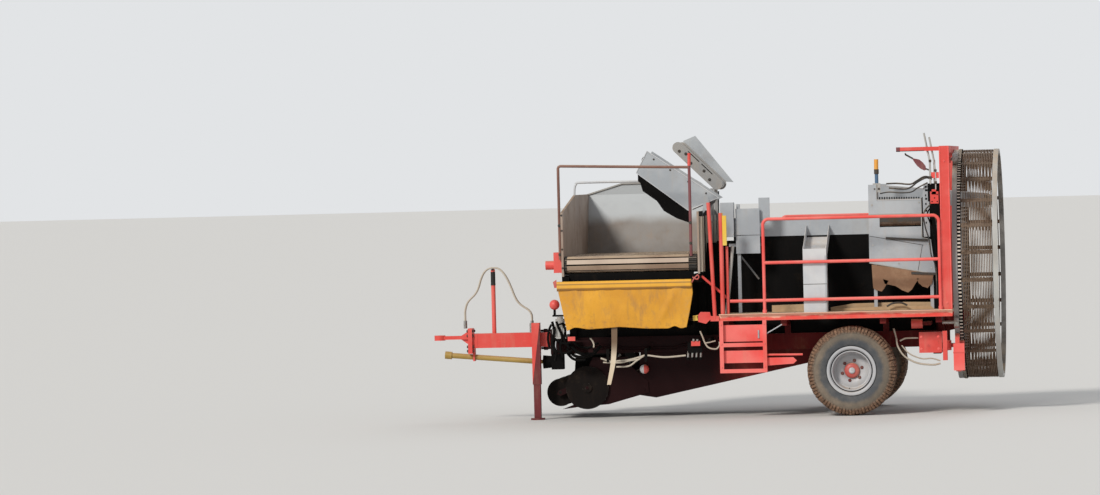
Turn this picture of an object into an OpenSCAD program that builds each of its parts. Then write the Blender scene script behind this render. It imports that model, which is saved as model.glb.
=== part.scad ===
// Trailed potato harvester with a ring elevator, a picking platform and a side-discharging bunker.
// Millimetres, +Z up. The drawbar points to -X, the discharge side and the picking platform face -Y.
// The origin is on the ground, under the middle of the machine.

/* [Wheels] */
// Outer diameter of a tyre
tyre_d = 1050; // [950:10:1100]
// Width of a tyre
tyre_w = 400; // [300:10:440]
// Diameter of the rim
rim_d = 570; // [500:10:620]
// Distance between the wheels' middles
track = 2500; // [2440:10:2540]
// Place of the axle behind the origin
axle_x = 1633; // [1500:10:1800]
// Side of the square axle beam
axle_h = 120; // [100:5:140]

/* [Frame] */
// Distance between the middles of the two long rails
rail_track = 1490; // [1450:10:1520]
// Width of a long rail
rail_w = 90; // [70:5:100]
// Height of a long rail
rail_h = 190; // [150:5:220]
// Height of the rails' underside above the ground
rail_z = 770; // [760:5:800]
// Front end of the rails
rail_front_x = -1940; // [-1980:10:-1900]
// Rear end of the rails
rail_rear_x = 2700; // [2650:10:2720]

/* [Drawbar] */
// Length from the swing pin to the eye's tip
drawbar_len = 1335; // [1200:10:1500]
// Width of the beam
drawbar_w = 130; // [100:5:160]
// Height of the beam
drawbar_h = 172; // [140:4:200]
// Bore of the towing eye
eye_bore_d = 50; // [40:1:60]
// Height of the hose post above the beam
post_h = 760; // [600:10:900]

/* [Sieving web] */
// Gap between a long rail and the web's side plate
web_clear = 30; // [15:1:40]
// Distance from the web's upper to its lower run
web_gap = 150; // [120:5:180]
// Diameter of a web rod
web_rod_d = 9; // [7:0.5:9.5]
// Pitch of the web rods
web_pitch = 90; // [60:5:120]

/* [Ring elevator] */
// Outer diameter of the ring
ring_d = 2720; // [2600:10:2740]
// Length of the ring along its axis
ring_w = 529; // [450:1:600]
// Height of the ring's axis
ring_z = 1720; // [1700:10:1760]
// Number of paddles round the ring
ring_bars = 26; // [16:1:32]
// Number of hoop rods between the two rims
ring_hoops = 18; // [6:1:20]
// Thickness of a hoop rod
hoop_d = 10; // [8:1:14]
// Depth of a paddle's fingers
paddle_h = 190; // [120:5:220]
// Number of fingers on a paddle
fingers = 10; // [6:1:14]

/* [Platform] */
// Height of the platform floor
floor_z = 1220; // [1180:5:1260]
// Front end of the platform floor
floor_front_x = 103; // [60:5:200]
// Outer edge of the platform from the middle of the machine
floor_y = 1500; // [1460:5:1500]
// Width of the platform floor
floor_w = 560; // [500:10:600]
// Diameter of the handrail tubes
rail_tube_d = 38; // [30:1:45]
// Height of the top handrail above the floor
hand_h = 1100; // [950:10:1150]

/* [Bunker] */
// Front face of the bunker
bunker_front_x = -1740; // [-1780:5:-1700]
// Rear face of the bunker
bunker_rear_x = -110; // [-150:5:-60]
// Height of the moving floor's top run
bunker_floor_z = 1930; // [1880:5:1960]
// Height of the end walls at the discharge side
bunker_low_z = 2450; // [2350:10:2500]
// Height of the end walls at the far side
bunker_high_z = 2650; // [2600:10:2700]
// Thickness of a sheet wall with its ribs
wall_t = 25; // [15:1:40]
// Height of the canvas curtain below the discharge end
canvas_h = 575; // [450:5:620]

/* [Conveyors] */
// Angle of the bunker filler above level
filler_angle = 34.4; // [28:0.2:38]
// Distance between the bunker filler's rollers
filler_len = 849; // [780:1:880]
// Width of the bunker filler
filler_w = 620; // [500:10:700]
// Angle of the far elevator above level
upper_angle = 44.5; // [35:0.5:50]
// Length of the far elevator between its rollers
upper_len = 640; // [500:10:700]

/* [Hidden] */
$fn = 48;
eps = 0.3;
gap = 1;
ring_front_x = 2836;
ring_r = ring_d / 2;
rim_t = 45;
rim_w = 58;
paddle_bar_w = 46;
chain_w = 44;
chain_pitch = 44.45;
chain_seat = 35;
ring_turn = 0.2;
drawbar_y = -rail_track / 2;
swing_x = -2030;
drawbar_z = 948;
post_x = -2645;
web_w = rail_track - rail_w - 2 * (web_clear + 20);
web_front = [-880, 330];
web_rear = [2935, 1120];
web_plate_z = 860;
web_d = web_rear - web_front;
web_l = norm(web_d);
web_a = atan2(web_d[1], web_d[0]);
mast_x = 2713;
mast_w = 115;
mast_top = 3125;
mast_y = 1400;
roller_d = 130;
hand_x0 = 640;
rail_low_h = 150;
ladder_bar_x = 236;
floor_rear_x = mast_x + mast_w;
beam_h = 80;

cross_h = 90;
outrigger_w = 70;
outrigger_x = [floor_front_x + 40, 820, 1980, 2630];
swing_pin_d = 50;
small_pin_d = 30;
open_pin_d = 20;
open_bore_d = 46;
open_eye_d = 76;
steer_base = [-2000, drawbar_y + 415];
steer_end = [-2560, drawbar_y + 125];
steer_v = steer_end - steer_base;
beam_end = track / 2 - tyre_w / 2 - 15;
spindle_d = 69.9;
ladder_x1 = 655;
ladder_z = 530;
table_x0 = 100;
table_x1 = 1930;
table_w = 1480;
table_leg_x = [table_x0 + 140, (table_x0 + table_x1) / 2, table_x1 - 110];
table_z = 2250;
skirt_x = [237, 2600];
skirt_t = 7;
chute_x = 1097;
chute_w = 274;
top_roller = [sqrt(pow(ring_r + roller_d / 2 + eps, 2) - pow(1250, 2)), ring_z + 1250];
low_roller = [sqrt(pow(ring_r + roller_d / 2 + eps, 2) - pow(658, 2)), ring_z - 658];
drive_z = 790;
drive_y = -sqrt(pow(ring_r + 70, 2) - pow(ring_z - drive_z, 2));
sep_y = 1085;
infeed_front = [1930, 2600];
infeed_rear = [3200, 2470];
bunker_base_z = 1700;
bunker_back_y = 1150;
floor_drum_d = 190;
slat_pitch = 75;
slat_w = 56;
slat_t = 16;
strand_w = 30;
canvas_x0 = -1832;
canvas_x1 = -169;
canvas_y = -1492;
canvas_z = 1630;
canvas_t = 8;
canvas_bar_d = 26;
filler_y = -920;
filler_pivot = [-60, 2560];
filler_head = filler_at(filler_len, 0);
// A point of the filler, u along it from its pivot and v above the line of its rollers
function filler_at(u, v) = filler_pivot + u * [-cos(filler_angle),
    sin(filler_angle)] + v * [sin(filler_angle), cos(filler_angle)];
filler_loop = 120;
upper_y = 200;
upper_w = 560;
upper_foot = [-30, 2740];
pto_z = 680;
pto_d = 64;
pto_cone_x = -2065;
pto_cone_d = 160;
pto_rear = [swing_x - 12, drawbar_y, pto_z];
pto_front = [-3240, drawbar_y, 786];
hook_z = 758;
hook_t = 20;
flange_x = -2925;
flange_t = 25;
eye_ring_d = 130;
eye_z = 990;
jack_x = -2130;
jack_w = 98;
jack_wall = 8.5;
jack_y = drawbar_y - drawbar_w / 2 - jack_w / 2 - 18;
jack_low_z = 420;
hose_d = 18;
hose_park = [[-2990, drawbar_y - 30, 1190], [-2990, drawbar_y + 30, 1190]];
// Route of a hose from the valve block over the post to its parked coupler, off to one side of the post
function hose_route(off) = [for (p = [[-2190, 1174.6], [-2190, 1215], [-2200, 1262], [-2232, 1305],
    [-2285, 1340],
    [-2335, 1380], [-2375, 1435], [-2405, 1505], [-2435, 1585], [-2470, 1665], [-2510, 1735], [-2555, 1786],
    [-2600, 1808], [-2645, 1811], [-2690, 1804], [-2735, 1775], [-2770, 1725], [-2795, 1665], [-2815, 1600],
    [-2840, 1540], [-2875, 1490], [-2920, 1448], [-2960, 1400], [-2980, 1345], [-2990, 1290], [-2990, 1240],
    [-2990, 1190]]) [p[0], drawbar_y + off, p[1]]];
// The same route with one more point between each two, on a smooth curve through them
function smooth_route(p) = let (n = len(p)) concat([for (i = [0 : n - 2]) for (k = [0, 1])
    k == 0 ? p[i] : (9 * (p[i] + p[i + 1]) - p[max(i - 1, 0)] - p[min(i + 2, n - 1)]) / 16], [p[n - 1]]);
arm_t = 12;
arm_y = web_w / 2 + 20 + (web_clear - arm_t) / 3;
ball_p = [-862, 571];
ball_d = 110;
ball_y = -arm_y - arm_t - ball_d / 2 - 12;
web_belt_t = 10;
intake_gap = 120;
coulter_p = [-1552, 362];
coulter_d = 510;
coulter_y = arm_y + arm_t + 30;
roller_p = [-1880, 310];
intake_front = [-1640, 215];
intake_rear = [-1010, 480];
lift_y = web_w / 2 - 50;
lift_beam_x = -1000;
lift_base = [-1040, 900];
lift_end = [-1240, 640];
lift_v = lift_end - lift_base;

// A box from its lowest to its highest corner
module box(lo, hi) {
    translate(lo) cube(hi - lo);
}

// A bar of round section between two points
module rod(a, b, d) {
    v = b - a;
    translate(a)
        rotate([0, acos(v[2] / norm(v)), atan2(v[1], v[0])])
            cylinder(h = norm(v), d = d);
}

// A plate whose outline is drawn in X and Z, t thick from y up
module plate_xz(points, y, t) {
    translate([0, y + t, 0]) rotate([90, 0, 0]) linear_extrude(t) polygon(points);
}

// A plate whose outline is drawn in Y and Z, t thick from x up
module plate_yz(points, x, t) {
    translate([x, 0, 0]) rotate([90, 0, 90]) linear_extrude(t) polygon(points);
}

// A disc or a shaft along Y from y0 to y1
module shaft_y(x, z, y0, y1, d) {
    translate([x, y1, z]) rotate([90, 0, 0]) cylinder(h = y1 - y0, d = d);
}

// A shaft along X from x0 to x1
module shaft_x(y, z, x0, x1, d) {
    translate([x0, y, z]) rotate([0, 90, 0]) cylinder(h = x1 - x0, d = d);
}

// A round tube bent in the XY plane along points, with bends of radius r
module bent_tube(points, r, d) {
    n = len(points);
    dirs = [for (i = [0 : n - 2]) (points[i + 1] - points[i]) / norm(points[i + 1] - points[i])];
    turns = [for (i = [1 : n - 2])
        atan2(dirs[i - 1][0] * dirs[i][1] - dirs[i - 1][1] * dirs[i][0], dirs[i - 1] * dirs[i])];
    cuts = [for (i = [0 : n - 1]) (i == 0 || i == n - 1) ? 0 : r * tan(abs(turns[i - 1]) / 2)];
    for (i = [0 : n - 2]) {
        a = points[i] + dirs[i] * cuts[i];
        b = points[i + 1] - dirs[i] * cuts[i + 1];
        rod([a[0], a[1], 0], [b[0], b[1], 0], d);
    }
    for (i = [1 : 1 : n - 2]) {
        turn = turns[i - 1];
        side = turn > 0 ? 1 : -1;
        heading = atan2(dirs[i - 1][1], dirs[i - 1][0]);
        centre = points[i] - dirs[i - 1] * cuts[i] + side * r * [-dirs[i - 1][1], dirs[i - 1][0]];
        translate([centre[0], centre[1], 0])
            rotate([0, 0, turn > 0 ? heading - 90 : heading + 90 + turn])
                rotate_extrude(angle = abs(turn)) translate([r, 0]) circle(d = d);
    }
}

// The same tube, with its points drawn in X and Z, at y
module tube_xz(points, y, r, d) {
    translate([0, y, 0]) rotate([90, 0, 0]) bent_tube(points, r, d);
}

// The outline of a belt or web round two rollers: a long loop with round ends, from x = 0 to x = l
module loop_outline(l, d) {
    hull_x = l;
    square([hull_x, d]);
    translate([0, d / 2]) circle(d = d);
    translate([hull_x, d / 2]) circle(d = d);
}

// A closed belt loop in the XZ plane, rising at angle a from start, w wide about y
module belt(start, l, d, a, y, w, t) {
    translate([start[0], y + w / 2, start[1]]) rotate([90, -a, 0])
        linear_extrude(w) difference() {
            translate([0, -d / 2]) loop_outline(l, d);
            translate([0, -d / 2 + t]) loop_outline(l, d - 2 * t);
        }
}

module main_frame() color("firebrick") {
    inside = rail_track / 2 - rail_w / 2;
    outside = rail_track / 2 + rail_w / 2;
    for (s = [-1, 1])
        box([rail_front_x, s * rail_track / 2 - rail_w / 2, rail_z],
            [rail_rear_x, s * rail_track / 2 + rail_w / 2, rail_z + rail_h]);
    // Cross members between the rails: place in X, underside above the rails' underside
    for (c = [[rail_front_x, rail_h - cross_h], [lift_beam_x, rail_h - cross_h], [2560, -cross_h]])
        box([c[0], -inside - eps, rail_z + c[1]], [c[0] + cross_h, inside + eps, rail_z + c[1] + cross_h]);
    // Outriggers that carry the platforms and the rear portal
    for (s = [-1, 1])
        for (x = outrigger_x) {
            box([x, s * rail_track / 2 - rail_w / 2, rail_z + rail_h], [x + outrigger_w,
                s * rail_track / 2 + rail_w / 2, floor_z - beam_h]);
            mirror([0, s > 0 ? 0 : 1, 0])
                box([x, outside - rail_w, floor_z - beam_h - outrigger_w], [x + outrigger_w,
                    floor_y - 60, floor_z - beam_h]);
        }
    // Ears and pins of the lifting cylinders, on the middle cross member
    for (s = [-1, 1]) {
        for (e = [-29, 17])
            plate_xz([[lift_base[0] - 22, lift_base[1] - 22], [lift_beam_x + 1, lift_base[1] - 22],
                [lift_beam_x + 1, lift_base[1] + 22],
                [lift_base[0] - 22, lift_base[1] + 22]], s * lift_y + e, 12);
        shaft_y(lift_base[0], lift_base[1], s * lift_y - 32, s * lift_y + 32, open_pin_d);
    }
    // Brackets down to the axle
    for (s = [-1, 1])
        box([axle_x - 90, s * rail_track / 2 - rail_w / 2, tyre_d / 2 + axle_h / 2],
            [axle_x + 90, s * rail_track / 2 + rail_w / 2, rail_z]);
    oil_pipes();
}

module front_bracket() color("firebrick") {
    ear_t = 25;
    difference() {
        union() {
            box([rail_front_x - ear_t, drawbar_y - 90, rail_z], [rail_front_x, drawbar_y + 90,
                drawbar_z + drawbar_h / 2 + 8 + ear_t]);
            for (z = [drawbar_z - drawbar_h / 2 - 5 - ear_t, drawbar_z + drawbar_h / 2 + 5]) {
                box([swing_x, drawbar_y - 60, z], [rail_front_x - ear_t / 2, drawbar_y + 60, z + ear_t]);
                translate([swing_x, drawbar_y, z]) cylinder(h = ear_t, d = 120);
            }
        }
    }
    translate([swing_x, drawbar_y, drawbar_z - drawbar_h / 2 - 40]) cylinder(h = drawbar_h + 80,
        d = swing_pin_d);
    // Ears for the steering cylinder
    for (z = [drawbar_z - 45, drawbar_z + 25]) {
        box([steer_base[0], steer_base[1] - 30, z], [rail_front_x, steer_base[1] + 30, z + 20]);
        translate([steer_base[0], steer_base[1], z]) cylinder(h = 20, d = 60);
    }
    translate([steer_base[0], steer_base[1], drawbar_z - 50]) cylinder(h = 100, d = small_pin_d);
}

module axle_beam() color("dimgray") {
    box([axle_x - axle_h / 2, -beam_end, tyre_d / 2 - axle_h / 2], [axle_x + axle_h / 2, beam_end,
        tyre_d / 2 + axle_h / 2]);
    for (s = [-1, 1])
        shaft_y(axle_x, tyre_d / 2, s > 0 ? beam_end - 1 : -track / 2 - 40,
            s > 0 ? track / 2 + 40 : -beam_end + 1, spindle_d);
}

module web_side_plates() color("firebrick") {
    half = 130;
    up = [-sin(web_a), cos(web_a)];
    along = [cos(web_a), sin(web_a)];
    // End of the level upper edge, where it meets the edge beside the web
    top_x = web_front[0] + (web_plate_z - web_front[1] - half / cos(web_a)) / tan(web_a);
    for (s = [-1, 1]) {
        y = s > 0 ? web_w / 2 + 10 : -web_w / 2 - 20;
        plate_xz([web_front + up * 60 - along * 60, [web_front[0] - 25, web_plate_z], [top_x, web_plate_z],
            web_rear + up * half - along * 20, web_rear - up * half - along * 60,
                web_front - up * half + along * 120,
            web_front - up * 60 - along * 60], y, 10);
        // Spacers that bolt the plate to the rail
        for (x = [1250, 1900])
            box([x, s > 0 ? y + 10 : -rail_track / 2 + rail_w / 2, rail_z + 40],
                [x + 80, s > 0 ? rail_track / 2 - rail_w / 2 : y, rail_z + 120]);
    }
    // Ball on the left plate
    rod([ball_p[0], -web_w / 2 - 18, ball_p[1]], [ball_p[0], ball_y, ball_p[1]], 24);
    translate([ball_p[0], ball_y, ball_p[1]]) sphere(d = ball_d);
    // Pivot pin of the digging unit, and the shafts of the web's rollers
    shaft_y(web_front[0], web_front[1], -arm_y - arm_t - 8, arm_y + arm_t + 8, small_pin_d);
    for (t = [0.06, 0.35, 0.65, 0.985]) {
        p = web_front + web_d * t;
        shaft_y(p[0], p[1], -web_w / 2 - 12, web_w / 2 + 12, 40);
        web_rollers(p, web_gap);
    }
}

// Rollers on a shaft at p, inside both edge belts of a rod web whose outer height is d
module web_rollers(p, d) {
    for (s = [-1, 1])
        shaft_y(p[0], p[1], s * (web_w / 2 - 25) - 20, s * (web_w / 2 - 25) + 20,
            d - 2 * web_belt_t - 2 * eps);
}

// A rod web: a belt at each edge and one rod across for each pitch of both runs
module rod_web(start, l, d, a, pitch) {
    n = floor(l / pitch);
    for (y = [-web_w / 2 + 25, web_w / 2 - 25])
        belt(start, l, d, a, y, 50, web_belt_t);
    translate([start[0], 0, start[1]]) rotate([0, -a, 0])
        for (i = [0 : n], side = [-1, 1])
            shaft_y(i * pitch, side * (d / 2 - 5), -web_w / 2 + 45, web_w / 2 - 45, web_rod_d);
}

module sieving_web() color("sienna") rod_web(web_front, web_l, web_gap, web_a, web_pitch);

module platform_side(s) {
    // Boards between the edge beam and the inner beam
    in_y = floor_y - floor_w;
    mirror([0, s > 0 ? 0 : 1, 0]) {
        color("tan") box([floor_front_x, in_y + 40, floor_z - 30], [floor_rear_x, floor_y - 50, floor_z]);
        color("firebrick") {
            // Folded edge beam, open to the outside
            plate_c([floor_front_x, floor_rear_x], floor_y - 50, floor_z - beam_h, 50, beam_h, 6);
            box([floor_front_x, in_y, floor_z - beam_h], [floor_rear_x, in_y + 40, floor_z]);
        }
    }
}

// A C profile along X, open to +Y
module plate_c(x, y, z, w, h, t) {
    translate([x[0], 0, 0]) rotate([90, 0, 90]) linear_extrude(x[1] - x[0])
        polygon([[y, z], [y + w, z], [y + w, z + t], [y + t, z + t],
            [y + t, z + h - t], [y + w, z + h - t], [y + w, z + h], [y, z + h]]);
}

module platform_left() platform_side(-1);
module platform_right() platform_side(1);

// Guard rail of a platform: one bent tube and two cross tubes, the lower one running on
// past the post over the ladder
module handrail(s) color("lightcoral") {
    y = s * (floor_y - 30);
    x1 = mast_x - rail_tube_d / 2 - gap;
    top = floor_z + hand_h;
    tube_xz([[hand_x0, floor_z], [hand_x0, top], [x1, top], [x1, floor_z]], y, 70, rail_tube_d);
    for (h = [[rail_low_h, s < 0 ? ladder_bar_x : hand_x0], [hand_h / 2 + 40, hand_x0]])
        rod([h[1], y, floor_z + h[0]], [x1, y, floor_z + h[0]], rail_tube_d);
}

module handrail_left() handrail(-1);
module handrail_right() handrail(1);

module ladder() color("firebrick") {
    y = -floor_y;
    // Bar with a pointed end and the rod over it, behind the ladder
    plate_xz([[ladder_x1 - 5, 607], [960, 625], [1000, 660], [960, 700], [ladder_x1 - 5, 700]], y + 45, 10);
    rod([ladder_x1 - 5, y + 50, 735], [1070, y + 50, 730], 25);
    for (x = [floor_front_x, ladder_x1 - 45])
        box([x, y, ladder_z], [x + 45, y + 60, floor_z - beam_h]);
    // Treads: height of the top face
    for (z = [ladder_z + 45, 880]) {
        box([floor_front_x + 45 - eps, y, z - 45], [ladder_x1 - 45 + eps, y + 200, z - 40]);
        box([floor_front_x + 45 - eps, y, z - 45], [ladder_x1 - 45 + eps, y + 5, z]);
    }
    // Kick plates behind the treads
    for (z = [[645, 790], [895, 1090]])
        box([floor_front_x + 45 - eps, y + 50, z[0]], [ladder_x1 - 45 + eps, y + 56, z[1]]);
}

module front_uprights() color("firebrick") {
    y = -floor_y + 50;
    rod([5, y, 2530], [54, y, floor_z - 70], 45);
    rod([147, y, floor_z], [147, y, 2405], 50);
    rod([205, y + 60, floor_z], [205, y + 60, 2010], 36);
    // Yellow bar on the second post
    box([165, y - 20, 2024], [212, y + 20, 2373]);
    box([0, y - 20, floor_z - beam_h], [floor_front_x, y + 40, floor_z - 20]);
    // Cross ties to the bunker's legs
    rod([bunker_rear_x + 11, y + 60, 1670], [205, y + 60, 1400], 30);
}

module picking_table() color("gray") {
    hw = table_w / 2;
    for (s = [-1, 1]) {
        y = s > 0 ? hw : -hw - 12;
        box([table_x0, y, table_z - 140], [table_x1, y + 12, table_z + 60]);
        for (x = table_leg_x)
            box([x, s * (hw - 25) - 25, rail_z + rail_h], [x + 50, s * (hw - 25) + 25, table_z - 140]);
    }
    for (x = table_leg_x)
        box([x, -hw, table_z - 190], [x + 50, hw, table_z - 141]);
    translate([table_x0 + 60, hw - 10, table_z - 50]) rotate([90, 0, 0])
        linear_extrude(table_w - 20) loop_outline(table_x1 - table_x0 - 120, 100);
    for (x = [table_x0 + 60, table_x1 - 60])
        shaft_y(x, table_z, -hw, hw, 60);
    // Skirt sheets down to the floor
    for (s = [-1, 1])
        box([skirt_x[0], s > 0 ? hw - 1 : -hw - skirt_t + 1, floor_z], [skirt_x[1],
            s > 0 ? hw + skirt_t - 1 : 1 - hw, table_z - 139]);
}

module switch_boxes() color("silver") {
    // Boxes and panels beside the table: X from, to, Z from, to, Y from, to
    for (b = [[114, 270, 2116, 2521, -1120, -960], [289, 572, 2136, 2446, -1060, -1030],
        [289, 572, 1917, 2128, -1060, -1030], [560, 690, 2270, 2570, -1000, -985]])
        box([b[0], b[4], b[2]], [b[1], b[5], b[3]]);
    // Their post and arms
    box([300, -1030, floor_z], [340, -990, 2500]);
    for (z = [2000, 2300])
        box([200, -1000, z], [620, -960, z + 36]);
    // Light post in front of them, and the brace of theirs
    rod([183, -1335, floor_z + 2.5], [271, -1335, 2015], 40);
    rod([325, -1005, 1905], [545, -1005, 1613], 22);
}

// Chute from the table down to the floor: a folded sheet box, open at its foot, on top and towards the table
module stone_chute() color("silver") {
    t = 6;
    y0 = -1440;
    y1 = -1250;
    table_side = -table_w / 2 - 12;
    difference() {
        plate_yz([[y0, floor_z], [y1, floor_z], [y1, 1887], [table_side, 2080], [table_side, 2230], [y0,
            1960]],
            chute_x, chute_w);
        plate_yz([[y0 + t, floor_z - 1], [y1 - t, floor_z - 1], [y1 - t, 1895], [table_side + 1, 2090],
            [table_side + 1, 2400], [y0 + t, 2400]], chute_x + t, chute_w - 2 * t);
    }
}

module mast() color("firebrick") {
    for (s = [-1, 1])
        box([mast_x, s * mast_y - 50, floor_z], [mast_x + mast_w, s * mast_y + 50, mast_top]);
    box([mast_x, -mast_y, mast_top - 80], [mast_x + mast_w, mast_y, mast_top]);
    // Forward arm on the near side
    box([2215, -mast_y - 25, mast_top - 55], [mast_x, 25 - mast_y, mast_top - 7]);
    // Plates that carry the upper guide rollers
    for (s = [-1, 1])
        box([mast_x + 70, s * top_roller[0] - 45, top_roller[1] - 45], [mast_x + 105,
            s * top_roller[0] + 45, mast_top - 70]);
}

// Guide rollers outside the front rim: Y and Z of the axle, on both sides
module ring_guide_rollers() color("silver") {
    for (s = [-1, 1])
        for (p = [top_roller, low_roller]) {
            shaft_x(s * p[0], p[1], ring_front_x + 2, ring_front_x + rim_w - 2, roller_d);
            shaft_x(s * p[0], p[1], p == top_roller ? mast_x + 105 : rail_rear_x, ring_front_x + 3, 40);
        }
}

module ring_drive() color("firebrick") {
    // Chain case
    plate_yz([[-1130, 930], [-1230, 880], [-1240, 600], [-1100, 480], [-800, 470], [-940, 640], [-1060,
        800]],
        ring_front_x + 5, 50);
    // Sprocket on the ring's chain
    shaft_x(drive_y, drive_z, ring_front_x + 50, ring_front_x + rim_w + chain_w + 4, 110);
    shaft_x(drive_y, drive_z, 2600, ring_front_x + 6, 50);
    shaft_x(drive_y, drive_z, 2690, 2790, 120);
    // Bevel gearbox and its foot on the rail
    box([2418, drive_y - 90, 709], [2684, drive_y + 130, 950]);
    box([2440, drive_y + 129, rail_z + 20], [2660, -rail_track / 2 - rail_w / 2, rail_z + rail_h - 20]);
}

module separator_panels() color("lightgray") {
    for (s = [-1, 1]) {
        y = s > 0 ? sep_y : -sep_y - 10;
        difference() {
            plate_xz([[1854, 1773], [2626, 1627], [2581, 2030], [2477, 2060], [2477, 2515], [1957, 2515],
                [1957, 2690], [1860, 2690]], y, 10);
            box([1985, y - 1, 2190], [2470, y + 11, 2330]);
        }
        // Posts from the platform beams
        for (x = [1900, 2560])
            box([x, s > 0 ? y - 40 : y + 10, floor_z], [x + 40, s > 0 ? y : y + 50, 1850]);
    }
    panel_flaps();
}

module finger_web() color("dimgray") {
    w = 2 * sep_y - 2 * eps;
    translate([1990, w / 2, 2225]) rotate([90, 0, 0]) linear_extrude(w) loop_outline(480, 80);
    for (x = [2000 : 40 : 2440])
        box([x, -w / 2, 2264], [x + 12, w / 2, 2300]);
}

module infeed_web() color("tan") {
    w = 1240;
    d = infeed_rear - infeed_front;
    a = atan2(d[1], d[0]);
    translate([infeed_front[0], w / 2, infeed_front[1]]) rotate([90, -a, 0])
        linear_extrude(w) translate([0, -70]) loop_outline(norm(d), 140);
    // Side plates, held by cross tubes in the separator's panels
    for (y = [-w / 2 - 12, w / 2 + 2])
        plate_xz([infeed_front + [0, 80], infeed_rear + [0, 80], infeed_rear - [0, 90],
            infeed_front - [0, 90]], y, 10);
    for (x = [1940, 2420])
        rod([x, -sep_y, 2480], [x, sep_y, 2480], 40);
}

module control_valves() color("firebrick") {
    valve_stack();
    box([2570, -1380, 2480], [mast_x, -1300, 2690]);
    for (x = [2590, 2640])
        box([x, -1370, 2690], [x + 24, -1340, 2960]);
    rod([2600, -1355, 2950], [2540, -1355, 3280], 22);
    rod([2650, -1355, 2950], [2600, -1355, 3230], 22);
}

module lamp_post() color("orange") {
    rod([1970, -sep_y + 20, 2500], [1970, -sep_y + 20, 2990], 40);
    rod([1970, -sep_y + 20, 2720], [1970, -sep_y + 20, 2850], 60);
}

module bunker_walls() color("gray") {
    y0 = -floor_y + 50;
    y1 = bunker_back_y;
    // End walls: front one high, rear one low enough for the conveyors
    plate_yz([[y0, bunker_base_z], [y1, bunker_base_z], [y1 + 300, bunker_high_z], [-50, bunker_high_z],
        [y0, bunker_low_z]],
        bunker_front_x, wall_t);
    plate_yz([[y0, bunker_base_z], [y1, bunker_base_z], [y1 + 300, bunker_high_z], [y1 + 100,
        bunker_high_z],
        [y1 - 60, bunker_low_z - 20], [y0, bunker_low_z - 20]], bunker_rear_x - wall_t, wall_t);
    // Ribs bolted to the rear end wall: near face in Y
    for (y = [-1400, -1130, -600, 20, 500, 1000])
        box([bunker_rear_x + eps, y, bunker_base_z + 20], [bunker_rear_x + 30, y + 30, bunker_low_z - 80]);
    // Brackets with the bearings of the bunker filler
    for (y = [filler_y - 14, filler_y + filler_w + 2])
        difference() {
            plate_xz([[bunker_rear_x - 1, 2380], [filler_pivot[0] + 20, 2500], [filler_pivot[0] + 40,
                filler_pivot[1]],
                [filler_pivot[0] + 20, filler_pivot[1] + 40], [filler_pivot[0] - 30,
                    filler_pivot[1] + 40], [bunker_rear_x - 1, 2429]], y, 12);
            shaft_y(filler_pivot[0], filler_pivot[1], y - 1, y + 13, 50.1);
        }
    // Sloped far wall
    plate_yz([[y1 - wall_t, bunker_base_z], [y1, bunker_base_z], [y1 + 300, bunker_high_z],
        [y1 + 300 - wall_t, bunker_high_z]],
        bunker_front_x, bunker_rear_x - bunker_front_x);
}

// Moving floor: drums with their shafts, chain strands round them and slats on the chains
module bunker_floor() color("burlywood") {
    x0 = bunker_front_x + wall_t + 12;
    x1 = bunker_rear_x - wall_t - 12;
    r = floor_drum_d / 2;
    y0 = -floor_y + 50 + r;
    l = bunker_back_y - wall_t - r - 10 - y0;
    z = bunker_floor_z - r;
    for (x = [x0 + 5, (x0 + x1) / 2 - strand_w / 2, x1 - strand_w - 5])
        translate([x, y0, z]) rotate([90, 0, 90]) linear_extrude(strand_w) difference() {
            translate([0, 4 - r]) loop_outline(l, 2 * r - 8);
            translate([0, 20 - r]) loop_outline(l, 2 * r - 40);
        }
    for (i = [0 : floor(l / slat_pitch)])
        for (s = [-1, 1])
            box([x0, y0 + i * slat_pitch, z + s * r - (s > 0 ? slat_t : 0)],
                [x1, y0 + i * slat_pitch + slat_w, z + s * r + (s > 0 ? 0 : slat_t)]);
    // Slats that go round the discharge drum
    for (a = [115 : 45 : 250])
        translate([0, y0, z]) rotate([a, 0, 0]) box([x0, r - slat_t, 1 - slat_w / 2], [x1, r - 2,
            slat_w / 2 - 1]);
    for (y = [y0, y0 + l]) {
        shaft_x(y, z, x0 - 12, x1 + 12, 60);
        shaft_x(y, z, x0 + 8, x1 - 8, 2 * r - 40 - 2 * eps);
    }
}

module bunker_legs() color("firebrick") {
    for (x = [bunker_front_x, bunker_rear_x - 80]) {
        box([x, -floor_y + 60, bunker_base_z - 100], [x + 80, bunker_back_y, bunker_base_z]);
        for (s = [-1, 1])
            box([x, s * rail_track / 2 - 40, rail_z + rail_h], [x + 80, s * rail_track / 2 + 40,
                bunker_base_z - 99]);
    }
    // Beam under the discharge edge
    box([bunker_front_x + 79, -floor_y + 100, bunker_base_z - 88], [bunker_rear_x - 79, -floor_y + 140,
        bunker_base_z + 32]);
    // Bar that the curtain hangs from
    bar_y = canvas_y + canvas_t + eps + canvas_bar_d / 2;
    rod([canvas_x0, bar_y, canvas_z], [canvas_x1, bar_y, canvas_z], canvas_bar_d);
    for (x = [bunker_front_x + 10, bunker_rear_x - 40])
        box([x, bar_y, canvas_z - canvas_bar_d / 2], [x + 30, -floor_y + 80, canvas_z + canvas_bar_d / 2]);
}

module bunker_drive() color("firebrick") {
    z = bunker_floor_z - floor_drum_d / 2;
    box([bunker_front_x - 100, -floor_y + 110, z - 90], [bunker_front_x, -floor_y + 310, z + 150]);
    shaft_x(-floor_y + 210, z, bunker_front_x - 205, bunker_front_x - 99, 105);
}

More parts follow.
